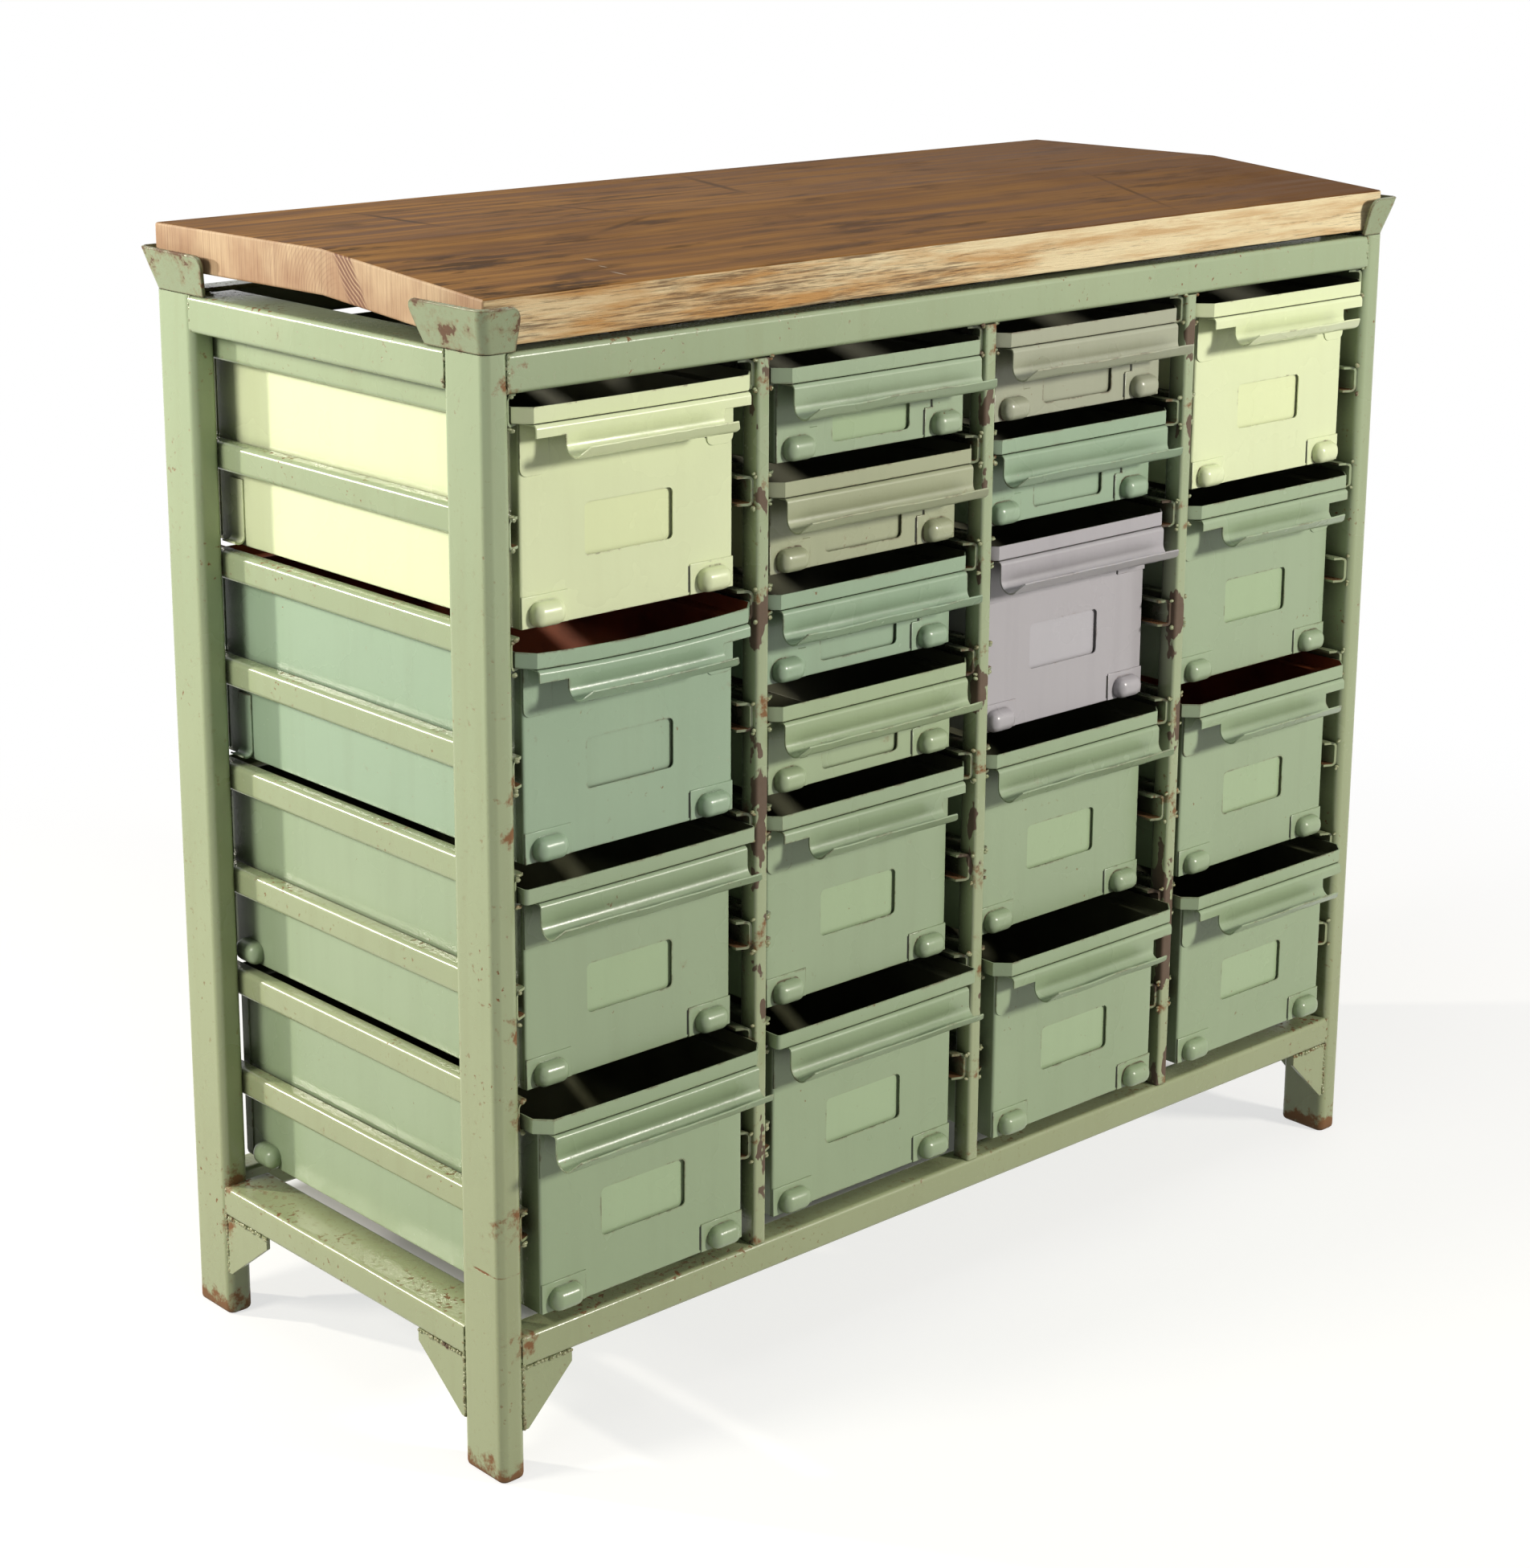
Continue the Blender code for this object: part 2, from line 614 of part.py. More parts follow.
def main():
    clear_scene()
    root = empty("rack", (0, 0, 0))
    side_ladder("left_side_ladder", -1, root)
    for gap in range(COLUMNS - 1):
        divider_ladder("divider_ladder_" + str(gap + 1), gap, root)
    side_ladder("right_side_ladder", 1, root)
    rails(root)
    for sx, side in ((-1, "left"), (1, "right")):
        for sy, end in ((-1, "front"), (1, "rear")):
            corner_cup(end + "_" + side + "_cup", sx, sy, root)
    worktop(root)
    drawers(root)
    centre_over_origin(root)


main()
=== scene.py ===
import json
import math
import random
import bmesh
import bpy
from mathutils import Matrix, Vector, noise

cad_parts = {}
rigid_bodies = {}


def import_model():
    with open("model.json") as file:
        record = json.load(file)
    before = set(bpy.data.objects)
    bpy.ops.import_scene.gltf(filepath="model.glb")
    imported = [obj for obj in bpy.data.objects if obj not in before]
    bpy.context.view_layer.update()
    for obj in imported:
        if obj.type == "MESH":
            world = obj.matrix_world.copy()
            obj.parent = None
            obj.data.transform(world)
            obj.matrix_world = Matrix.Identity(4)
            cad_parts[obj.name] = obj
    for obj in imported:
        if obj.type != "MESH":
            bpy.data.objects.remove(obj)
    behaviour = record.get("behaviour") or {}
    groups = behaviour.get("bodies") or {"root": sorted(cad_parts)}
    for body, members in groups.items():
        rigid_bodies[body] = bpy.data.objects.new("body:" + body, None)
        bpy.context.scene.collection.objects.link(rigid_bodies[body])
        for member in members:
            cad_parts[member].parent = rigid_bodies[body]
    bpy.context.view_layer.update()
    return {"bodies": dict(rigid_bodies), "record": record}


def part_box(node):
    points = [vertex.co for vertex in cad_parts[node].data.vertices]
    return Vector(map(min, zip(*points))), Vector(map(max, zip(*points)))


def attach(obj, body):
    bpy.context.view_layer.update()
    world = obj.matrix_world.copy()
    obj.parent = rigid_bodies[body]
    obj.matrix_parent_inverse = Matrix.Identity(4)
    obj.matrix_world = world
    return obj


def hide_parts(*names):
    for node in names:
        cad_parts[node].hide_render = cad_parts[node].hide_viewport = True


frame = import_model()
scene = bpy.context.scene
scene.view_settings.view_transform = "Standard"
slotOf = {entry["node"]: entry["material_slot"] for entry in frame["record"]["subparts"]}


def linear(hexText):
    channels = [int(hexText[i:i + 2], 16) / 255 for i in (1, 3, 5)]
    return tuple(c / 12.92 if c <= 0.04045 else ((c + 0.055) / 1.055) ** 2.4 for c in channels) + (1.0,)


def perMm(size):  # texture scale of a pattern that comes round every so many millimetres
    return 1000 / size


def plug(tree, made, inputs):
    for socket, source in inputs.items():
        if isinstance(source, bpy.types.NodeSocket):
            tree.links.new(source, made.inputs[socket])
        else:
            made.inputs[socket].default_value = source


def node(tree, kind, inputs=None, out=0, **settings):
    made = tree.nodes.new("ShaderNode" + kind)
    for key, value in settings.items():
        setattr(made, key, value)
    plug(tree, made, inputs or {})
    return made.outputs[out]


def newMaterial(name):
    material = bpy.data.materials.new(name)
    material.use_nodes = True
    tree = material.node_tree
    return material, tree, node(tree, "TexCoord", out="Object")


def streaks(tree, place, sizes, detail, roughness=0.5, distortion=0.0):  # drawn out by sizes in mm along X, Y, Z
    local = node(tree, "Mapping", {"Vector": place, "Scale": tuple(perMm(size) for size in sizes)})
    return node(tree, "TexNoise", {"Vector": local, "Scale": 1.0, "Detail": detail, "Roughness": roughness,
                                   "Distortion": distortion})


# Lays coats over a ground colour, each an amount and a shade, and gives them a relief in metres
def layCoats(material, ground, coats, inputs, relief=None):
    tree = material.node_tree
    colour = linear(ground)
    for amount, shade in coats:
        shade = linear(shade) if isinstance(shade, str) else shade
        colour = node(tree, "Mix", {0: amount, 6: colour, 7: shade}, 2, data_type="RGBA")
    if relief is not None:
        bump = node(tree, "Bump", {"Strength": 1.0, "Distance": 1.0, "Height": relief})
        inputs = dict(inputs, Normal=bump)
    plug(tree, tree.nodes["Principled BSDF"], {"Base Color": colour, **inputs})
    return material


# the enamel's noises: size in mm, detail, roughness
enamelNoise = {"cloud": (140, 4.0, 0.5), "patch": (75, 2.0, 0.5), "speck": (5, 3.0, 0.5),
               "rough": (16, 5.0, 0.65), "nick": (26, 6.0, 0.7), "peel": (6, 2.0, 0.5), "dent": (60, 1.0, 0.5)}
# where the frame's pieces lie, for the stains that follow them and the painted shade in the hollows between the
# drawers
rack = {"middle": 0.0176, "outer": 0.229, "inner": 0.213, "front": (-0.208, -0.196), "topRung": 0.9033,
        "halfPitch": 0.0486}


# Satin enamel brushed on steel sheet and tube: a soft sheen, chalky and streaked by age,
# chipped at the edges to brown primer and rust, with dirt and painted shade in the corners
def agedEnamel(name, look):
    material, tree, place = newMaterial(name)
    grain = {key: node(tree, "TexNoise", {"Vector": place, "Scale": perMm(size), "Detail": detail,
                                          "Roughness": roughness})
             for key, (size, detail, roughness) in enamelNoise.items()}
    height = node(tree, "SeparateXYZ", {0: place}, "Z")
    # colour shifts with height from low to high; where low is darker, as on the frame, the dividers and the sage
    # drawers, it is partly a tint of age and partly painted shade toward the bottom
    fade = node(tree, "MapRange", {0: height, 1: 0.15, 2: 0.9})
    chalk = node(tree, "MapRange", {0: grain["cloud"], 1: 0.40, 2: 0.80, 4: look["chalk"]},
                 interpolation_type="SMOOTHSTEP")
    streak = streaks(tree, place, (17, 17, 260), 3.0)
    streak = node(tree, "MapRange", {0: streak, 1: 0.5, 2: 0.8, 4: look["streak"]})

    # small rust stains, in patches
    patch = node(tree, "MapRange", {0: grain["patch"], 1: 0.50, 2: 0.66, 3: 0.15})
    facing = node(tree, "NewGeometry", out="Normal")
    level = node(tree, "SeparateXYZ", {0: facing}, "Z")
    level = node(tree, "MapRange", {0: level, 1: 0.6, 2: 0.95, 4: look["dust"]})
    speck = node(tree, "Math", {0: grain["speck"], 1: level}, operation="ADD")
    speck = node(tree, "MapRange", {0: speck, 1: look["speckFrom"], 2: look["speckFrom"] + 0.07})
    stain = node(tree, "Math", {0: speck, 1: patch}, operation="MULTIPLY")

    # rust creeping up from the floor, and around the spots where welds weep
    rusty = node(tree, "MapRange", {0: height, 1: 0.002, 2: 0.036, 3: look["feet"], 4: 0.0})
    spots = []
    for x, y, z, radius in look.get("weeping", ()):
        away = node(tree, "VectorMath", {0: place, 1: (x, y, z)}, "Value", operation="DISTANCE")
        spots.append(node(tree, "MapRange", {0: away, 1: radius, 2: 0.0, 4: 0.36}))
    for x, y, z in look.get("seams", ()):
        flat = node(tree, "VectorMath", {0: place, 1: (1, 1, 25)}, operation="MULTIPLY")
        away = node(tree, "VectorMath", {0: flat, 1: (x, y, z * 25)}, "Value", operation="DISTANCE")
        spots.append(node(tree, "MapRange", {0: away, 1: 0.036, 2: 0.026, 4: 0.34}))
    if "rungs" in look:  # stains around the runner ends, level by level
        rung = node(tree, "Math", {0: height, 1: rack["topRung"]}, operation="SUBTRACT")
        rung = node(tree, "Math", {0: rung, 1: rack["halfPitch"]}, operation="PINGPONG")
        spots.append(node(tree, "MapRange", {0: rung, 1: 0.027, 2: 0.013, 4: look["rungs"]}))
    for spot in spots:
        rusty = node(tree, "Math", {0: rusty, 1: spot}, operation="MAXIMUM")
    creep = node(tree, "Math", {0: grain["rough"], 1: rusty}, operation="ADD")
    creep = node(tree, "MapRange", {0: creep, 1: 0.73, 2: 0.86})
    stain = node(tree, "Math", {0: stain, 1: creep}, operation="MAXIMUM")

    # edges worn to primer and bare rust
    eased = node(tree, "Bevel", {"Radius": 0.003}, samples=4)
    turn = node(tree, "VectorMath", {0: eased, 1: facing}, "Value", operation="DOT_PRODUCT")
    edge = node(tree, "MapRange", {0: turn, 1: 0.99, 2: 0.80, 4: look["edge"]})
    nick = node(tree, "Math", {0: grain["nick"], 1: edge}, operation="ADD")
    chip = node(tree, "MapRange", {0: nick, 1: look["chipFrom"], 2: look["chipFrom"] + 0.02})
    if "flakes" in look:  # on the front faces
        flake = streaks(tree, place, (36, 36, 62), 4.0, 0.55)
        front = node(tree, "SeparateXYZ", {0: place}, "Y")
        front = node(tree, "MapRange", {0: front, 1: rack["front"][0], 2: rack["front"][1], 3: 0.0, 4: -0.2})
        flake = node(tree, "Math", {0: flake, 1: front}, operation="ADD")
        flake = node(tree, "MapRange", {0: flake, 1: look["flakes"], 2: look["flakes"] + 0.012})
        chip = node(tree, "Math", {0: chip, 1: flake}, operation="MAXIMUM")
    halo = node(tree, "MapRange", {0: nick, 1: look["chipFrom"] - 0.08, 2: look["chipFrom"], 4: 0.45})
    stain = node(tree, "Math", {0: stain, 1: halo}, operation="MAXIMUM")
    core = node(tree, "Mix", {0: grain["rough"], 6: linear("#51402F"), 7: linear(look["primer"])}, 2,
                data_type="RGBA")

    # dirt where pieces meet, and painted shade: ambient occlusion darkens corners, narrow gaps and the fronts under
    # the pulls
    open_ = node(tree, "AmbientOcclusion", {"Distance": 0.030}, "AO", samples=4)
    corner = node(tree, "MapRange", {0: open_, 1: 0.62, 2: 0.22, 4: look["grime"]})
    coats = [(fade, look.get("high", look["low"])), (chalk, look["pale"]), (streak, look["dirt"]),
             (stain, look["rust"]), (chip, core), (corner, "#2C2A1C")]
    if "recess" in look:  # painted shade in the hollows between the drawers, darker away from the front and rear
        paintedDepthShade = node(tree, "SeparateXYZ", {0: place}, "Y")
        paintedDepthShade = node(tree, "Math", {0: paintedDepthShade, 1: rack["middle"]}, operation="SUBTRACT")
        paintedDepthShade = node(tree, "Math", {0: paintedDepthShade}, operation="ABSOLUTE")
        paintedDepthShade = node(tree, "MapRange", {0: paintedDepthShade, 1: rack["outer"], 2: rack["inner"], 4: look["recess"]})
        coats.append((paintedDepthShade, "#1C2016"))

    # brush marks and dents
    worn = node(tree, "Math", {0: chip, 1: stain}, operation="MAXIMUM")
    gloss = look["gloss"]
    sheen = node(tree, "MapRange", {0: grain["cloud"], 1: 0.3, 2: 0.7, 3: gloss - 0.05, 4: gloss + 0.10})
    sheen = node(tree, "Mix", {0: worn, 2: sheen, 3: 0.75})
    relief = node(tree, "Math", {0: grain["peel"], 1: 0.00012}, operation="MULTIPLY")
    for source, metres in ((grain["dent"], look["dent"]), (worn, -0.00015)):
        relief = node(tree, "Math", {0: source, 1: metres, 2: relief}, operation="MULTIPLY_ADD")
    return layCoats(material, look["low"], coats, {"Roughness": sheen, "IOR": 1.5}, relief)


# the darkening of corners and narrow gaps is dirt and painted shade together
enamel = {"low": "#A3B59A", "pale": "#B4C2A8", "chalk": 0.14, "dirt": "#7E8468", "streak": 0.10,
          "speckFrom": 0.69, "dust": 0.02, "feet": 0.0, "edge": 0.20, "chipFrom": 0.75, "primer": "#6A5444",
          "rust": "#7C5632", "grime": 0.85, "gloss": 0.26, "dent": 0.0010}
# the frame's darker low colour is partly painted shade toward the bottom
frameLook = dict(enamel, low="#A0A981", high="#A1B18E", pale="#B2BB9A", dirt="#8B8A62", feet=0.42, gloss=0.24,
                 grime=0.60, dust=0.08, streak=0.16, speckFrom=0.635, edge=0.18)
paints = {
    "frame_paint": dict(frameLook, seams=((-0.5437, -0.1878, 0.187),),
                        weeping=((-0.531, -0.213, 0.93, 0.03), (-0.531, -0.213, 0.60, 0.032),
                                 (-0.531, -0.213, 0.565, 0.035), (-0.531, -0.213, 0.40, 0.028),
                                 (-0.531, -0.213, 0.33, 0.04), (-0.531, -0.213, 0.225, 0.055),
                                 (-0.545, 0.194, 0.135, 0.03), (-0.531, -0.213, 0.125, 0.035),
                                 (-0.555, 0.194, 0.09, 0.03))),
    # the sage drawers' darker low colour is partly painted shade toward the bottom
    "sage_paint": dict(enamel, low="#9BAE8B", high="#A3B698"),
    "blue_sage_paint": dict(enamel, low="#9EB69B", pale="#AFC3A9"),
    "yellow_sage_paint": dict(enamel, low="#A9BB96"),
    "olive_paint": dict(enamel, low="#AEB495", pale="#BCC0A5"),
    "khaki_paint": dict(enamel, low="#ABAF99", pale="#B9BCA8"),
    "lime_paint": dict(enamel, low="#E5EFC4", pale="#EBF3CE", chalk=0.2, dirt="#CDD2A4", speckFrom=0.78,
                       chipFrom=0.80),
    "lilac_paint": dict(enamel, low="#B5B2B8", pale="#C0BEC4", dirt="#98949C", streak=0.2, speckFrom=0.76,
                        chipFrom=0.80),
}
finishes = {slot: agedEnamel(slot.replace("_paint", "Enamel").replace("_", ""), look)
            for slot, look in paints.items()}
# recess sets how dark the painted shade in the hollows between the drawers is
dividerEnamel = agedEnamel("dividerEnamelFlaked", dict(frameLook, low="#A3AD86", high="#A3B290", chipFrom=0.72,
                                                       edge=0.14, primer="#6C5A4C", flakes=0.575, rungs=0.21,
                                                       recess=0.9))
weldEnamel = agedEnamel("weldBeadEnamel", dict(frameLook, low="#979C73", high="#949F7A", edge=0.04,
                                               chipFrom=0.62, speckFrom=0.50))
cupEnamel = agedEnamel("cupEnamelKnocked", dict(frameLook, low="#929F7C", high="#929F7C", edge=0.30,
                                                chipFrom=0.60, speckFrom=0.58, primer="#6A472C"))
lipEnamel = agedEnamel("runnerLipRust", dict(frameLook, low="#93694A", high="#93694A", pale="#AE8A68"))
labelEnamel = {}
for slot, shade in (("sage_paint", "#A9BF98"), ("lime_paint", "#E9F3C2"), ("lilac_paint", "#BDBBC2")):
    look = dict(paints[slot], low=shade, high=shade, streak=0.05, chipFrom=0.85, dent=0.0002, grime=0.12)
    labelEnamel[slot] = agedEnamel(slot.replace("_paint", "LabelEnamel"), look)


# Dark steel with a smeared, dull sheen: shop grease and dust together with painted shade inside the drawers, and
# near-black strips of painted shade in the seams
def darkSteel(name, shade, warm):
    material, tree, place = newMaterial(name)
    smear = node(tree, "TexNoise", {"Vector": place, "Scale": perMm(70), "Detail": 5.0})
    smear = node(tree, "MapRange", {0: smear, 1: 0.35, 2: 0.65})
    dull = node(tree, "MapRange", {0: smear, 3: 0.45, 4: 0.7})
    return layCoats(material, shade, [(smear, warm)], {"Roughness": dull})


# the greasy inside is dark partly from shop grease and dust and partly as painted shade of the unlit inside
insides = {"oiled": darkSteel("oiledDrawerInside", "#43452F", "#5A5C43"),
           "primed": darkSteel("primedDrawerInside", "#6B3216", "#9C4F2A")}
# near-black, for the painted shade in the open joints beside the plates
seamShade = darkSteel("grimeInSeams", "#12130D", "#1C1D15")


# Old pine planed and waxed brown: long streaks of grain, dark smudges of workshop oil
def waxedPine(look):
    material, tree, place = newMaterial("waxedPineTop")
    drift = node(tree, "TexNoise", {"Vector": place, "Scale": perMm(look["drift"]), "Detail": 2.0}, 1)
    warped = node(tree, "VectorMath", {0: drift, 1: (0.0, look["wander"], 0.0)}, operation="MULTIPLY")
    warped = node(tree, "VectorMath", {0: place, 1: warped}, operation="ADD")
    broad = streaks(tree, warped, (300, 14, 14), 5.0)
    fine = streaks(tree, warped, (60, 1.7, 1.7), 3.0)
    tone = node(tree, "MapRange", {0: broad, 1: 0.36, 2: 0.64})
    line = node(tree, "MapRange", {0: fine, 1: 0.50, 2: 0.70, 4: 0.36})
    smudge = streaks(tree, place, (105, 19, 19), 6.0, 0.65)
    smudge = node(tree, "MapRange", {0: smudge, 1: 0.52, 2: 0.62, 4: 0.80})
    where = node(tree, "TexNoise", {"Vector": place, "Scale": perMm(150), "Detail": 2.0})
    where = node(tree, "MapRange", {0: where, 1: 0.40, 2: 0.58})
    smudge = node(tree, "Math", {0: smudge, 1: where}, operation="MULTIPLY")
    flat = node(tree, "VectorMath", {0: place, 1: (1, 1, 0)}, operation="MULTIPLY")
    marks = {"cuts": [], "drips": []}
    for kind, core, strength in (("cuts", 0.3, 0.78), ("drips", 0.5, 0.55)):
        for x, y, turn, length, width in look[kind]:
            local = node(tree, "Mapping", {"Vector": flat, "Location": (x, y, 0),
                                           "Rotation": (0, 0, math.radians(turn)),
                                           "Scale": (length / 2, width, 1)}, vector_type="TEXTURE")
            reach = node(tree, "VectorMath", {0: local}, "Value", operation="LENGTH")
            marks[kind].append(node(tree, "MapRange", {0: reach, 1: 1.0, 2: core, 4: strength}))
    for cut in marks["cuts"]:
        smudge = node(tree, "Math", {0: smudge, 1: cut}, operation="MAXIMUM")
    patina = node(tree, "TexNoise", {"Vector": place, "Scale": perMm(230), "Detail": 3.0})
    patina = node(tree, "MapRange", {0: patina, 1: 0.42, 2: 0.66, 4: 0.40})
    far = node(tree, "SeparateXYZ", {0: place}, "X")
    far = node(tree, "MapRange", {0: far, 1: -0.3, 2: 0.5, 4: 0.62})
    patina = node(tree, "Math", {0: patina, 1: far}, operation="ADD", use_clamp=True)
    wax = node(tree, "MapRange", {0: broad, 1: 0.3, 2: 0.7, 3: 0.55, 4: 0.75})
    relief = node(tree, "Math", {0: fine, 1: 0.0004}, operation="MULTIPLY")
    coats = [(tone, look["light"]), (line, look["line"]), (smudge, look["oil"]), (patina, look["dark"])]
    coats += [(drip, look["paint"]) for drip in marks["drips"]]
    return layCoats(material, look["dark"], coats, {"Roughness": wax, "Specular IOR Level": 0.06}, relief)


# The sawn front of the plank, never planed: pale wood, ragged dark streaks of old bark and dirt
def sawnPine(look):
    material, tree, place = newMaterial("sawnPineEdge")
    grain = streaks(tree, place, (110, 9, 9), 5.0, 0.6, 0.4)
    tone = node(tree, "MapRange", {0: grain, 1: 0.35, 2: 0.65})
    far = node(tree, "SeparateXYZ", {0: place}, "X")
    clean = node(tree, "MapRange", {0: far, 1: -0.2, 2: 0.3, 3: -0.1, 4: 0.45})
    tone = node(tree, "Math", {0: tone, 1: clean}, operation="ADD", use_clamp=True)
    torn = streaks(tree, place, (48, 1.9, 1.9), 6.0, 0.7)
    area = streaks(tree, place, (190, 30, 16), 2.0)
    area = node(tree, "MapRange", {0: area, 1: 0.38, 2: 0.64, 3: -0.07, 4: 0.08})
    far = node(tree, "MapRange", {0: far, 1: -0.15, 2: 0.15, 3: 0.05, 4: -0.07})
    for share in (area, far):
        torn = node(tree, "Math", {0: torn, 1: share}, operation="ADD")
    dark = node(tree, "MapRange", {0: torn, 1: 0.52, 2: 0.68, 4: 0.80})
    relief = node(tree, "Math", {0: torn, 1: -0.0016}, operation="MULTIPLY")
    coats = [(tone, look["pale"]), (dark, look["bark"])]
    return layCoats(material, look["warm"], coats, {"Roughness": 0.72}, relief)


# End grain of the two planks: year rings around a heart below the seam, fine saw marks
def endGrainPine(look):
    material, tree, place = newMaterial("pineEndGrain")
    drift = node(tree, "TexNoise", {"Vector": place, "Scale": perMm(60), "Detail": 2.0}, 1)
    drift = node(tree, "VectorMath", {0: drift, 1: (0.0, 0.012, 0.012)}, operation="MULTIPLY")
    ring = node(tree, "VectorMath", {0: place, 1: drift}, operation="ADD")
    flat = node(tree, "VectorMath", {0: ring, 1: (0.0, 1.0, 1.0)}, operation="MULTIPLY")
    reach = node(tree, "VectorMath", {0: flat, 1: (0.0,) + look["heart"]}, "Value", operation="DISTANCE")
    year = node(tree, "Math", {0: reach, 1: perMm(look["year"])}, operation="MULTIPLY")
    year = node(tree, "Math", {0: year}, operation="FRACT")
    tone = node(tree, "TexNoise", {"Vector": place, "Scale": perMm(45), "Detail": 3.0})
    tone = node(tree, "MapRange", {0: tone, 1: 0.35, 2: 0.65})
    late = node(tree, "MapRange", {0: year, 1: 0.55, 2: 0.95, 4: 0.32})
    y = node(tree, "SeparateXYZ", {0: place}, "Y")
    behind = node(tree, "MapRange", {0: y, 1: 0.114, 2: 0.044})
    before = node(tree, "MapRange", {0: y, 1: -0.022, 2: 0.0, 3: 0.15})
    for share in (behind, before):
        late = node(tree, "Math", {0: late, 1: share}, operation="MULTIPLY")
    local = node(tree, "VectorMath", {0: ring, 1: (0.0,) + look["figure"]}, operation="SUBTRACT")
    slant = node(tree, "VectorMath", {0: local, 1: (0.0, 1.0, -0.585)}, "Value", operation="DOT_PRODUCT")
    slant = node(tree, "Math", {0: slant}, operation="ABSOLUTE")
    slant = node(tree, "MapRange", {0: slant, 1: 0.014, 2: 0.009})
    across = (0.0, 0.66 * perMm(look["barb"]), -0.75 * perMm(look["barb"]))
    barb = node(tree, "VectorMath", {0: local, 1: across}, "Value", operation="DOT_PRODUCT")
    barb = node(tree, "Math", {0: barb}, operation="FRACT")
    barb = node(tree, "MapRange", {0: barb, 1: 0.22, 2: 0.50})
    barb = node(tree, "Math", {0: barb, 1: slant}, operation="MULTIPLY")
    late = node(tree, "Math", {0: late, 1: barb}, operation="MAXIMUM")
    saw = streaks(tree, place, (40, 1.5, 60), 2.0)
    mark = node(tree, "MapRange", {0: saw, 1: 0.46, 2: 0.72, 4: 0.36})
    relief = node(tree, "Math", {0: saw, 1: 0.0005}, operation="MULTIPLY")
    coats = [(tone, look["light"]), (late, look["ring"]), (mark, look["ring"])]
    return layCoats(material, look["dark"], coats, {"Roughness": 0.62}, relief)


print("finishes mixed:", len(bpy.data.materials))


def cubeShape(low, high):
    bm = bmesh.new()
    bmesh.ops.create_cube(bm, size=1.0)
    low, high = Vector(low), Vector(high)
    bmesh.ops.scale(bm, vec=high - low, verts=bm.verts)
    bmesh.ops.translate(bm, vec=(low + high) / 2, verts=bm.verts)
    return bm


def edgesAlong(bm, axis):
    others = [k for k in range(3) if k != axis]
    return [e for e in bm.edges if all(abs(e.verts[0].co[k] - e.verts[1].co[k]) < 1e-6 for k in others)]


def roundOff(bm, geom, radius, segments, affect="EDGES", clamp=True):
    bmesh.ops.bevel(bm, geom=geom, offset=radius, affect=affect, segments=segments, profile=0.5, material=-1,
                    clamp_overlap=clamp)


def pushOn(bm, edges, offset):
    made = bmesh.ops.extrude_edge_only(bm, edges=edges)["geom"]
    bmesh.ops.translate(bm, vec=offset, verts=[g for g in made if isinstance(g, bmesh.types.BMVert)])
    return [g for g in made if isinstance(g, bmesh.types.BMEdge) and g.is_boundary and g not in edges
            and all(v in made for v in g.verts)]


def bendOn(bm, edges, centre, axis, degrees, steps):
    made = bmesh.ops.spin(bm, geom=edges, cent=centre, axis=axis, angle=math.radians(degrees), steps=steps,
                          use_duplicate=False)["geom_last"]
    return [g for g in made if isinstance(g, bmesh.types.BMEdge)]


def cutPlane(bm, at, way, **settings):
    bmesh.ops.bisect_plane(bm, geom=bm.verts[:] + bm.edges[:] + bm.faces[:], plane_co=at, plane_no=way, **settings)


def slices(bm, axis, places):
    way = Vector((0, 0, 0))
    way[axis] = 1.0
    for place in places:
        cutPlane(bm, way * place, way)


def sheetWall(bm, thickness, inward):  # gives an open bent sheet its thickness, on the side that inward points to
    face = max(bm.faces, key=lambda f: abs(f.normal.dot(Vector(inward))))
    if face.normal.dot(Vector(inward)) > 0:
        bmesh.ops.reverse_faces(bm, faces=bm.faces)
    bmesh.ops.solidify(bm, geom=bm.faces[:], thickness=thickness)
    bmesh.ops.recalc_face_normals(bm, faces=bm.faces)


def meshFrom(name, bm):
    mesh = bpy.data.meshes.new(name)
    bm.to_mesh(mesh)
    bm.free()
    return mesh


def putIn(name, data):
    made = bpy.data.objects.new(name, data)
    scene.collection.objects.link(made)
    return made


def joinInto(bm, other):
    mesh = meshFrom("joining", other)
    bm.from_mesh(mesh)
    bpy.data.meshes.remove(mesh)


def finishPiece(name, shape, materials, body, standsFor=None, ease=0.0):
    mesh = shape if isinstance(shape, bpy.types.Mesh) else meshFrom(name, shape)
    for material in materials:
        mesh.materials.append(material)
    mesh.shade_smooth()
    mesh.set_sharp_from_angle(angle=math.radians(38))
    piece = putIn(name, mesh)
    if ease:
        soft = piece.modifiers.new("eased edges", "BEVEL")
        soft.width = ease
        soft.segments = 2
        soft.limit_method = "ANGLE"
        soft.angle_limit = math.radians(50)
        soft.harden_normals = True
    flat = piece.modifiers.new("flat faces", "WEIGHTED_NORMAL")
    flat.keep_sharp = True
    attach(piece, body)
    if standsFor:
        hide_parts(standsFor)
    return piece


weld = {"length": 0.0050, "width": 0.0030, "proud": 0.0018, "step": 0.0042, "wander": 0.0007, "seed": 7}
dice = random.Random(weld["seed"])


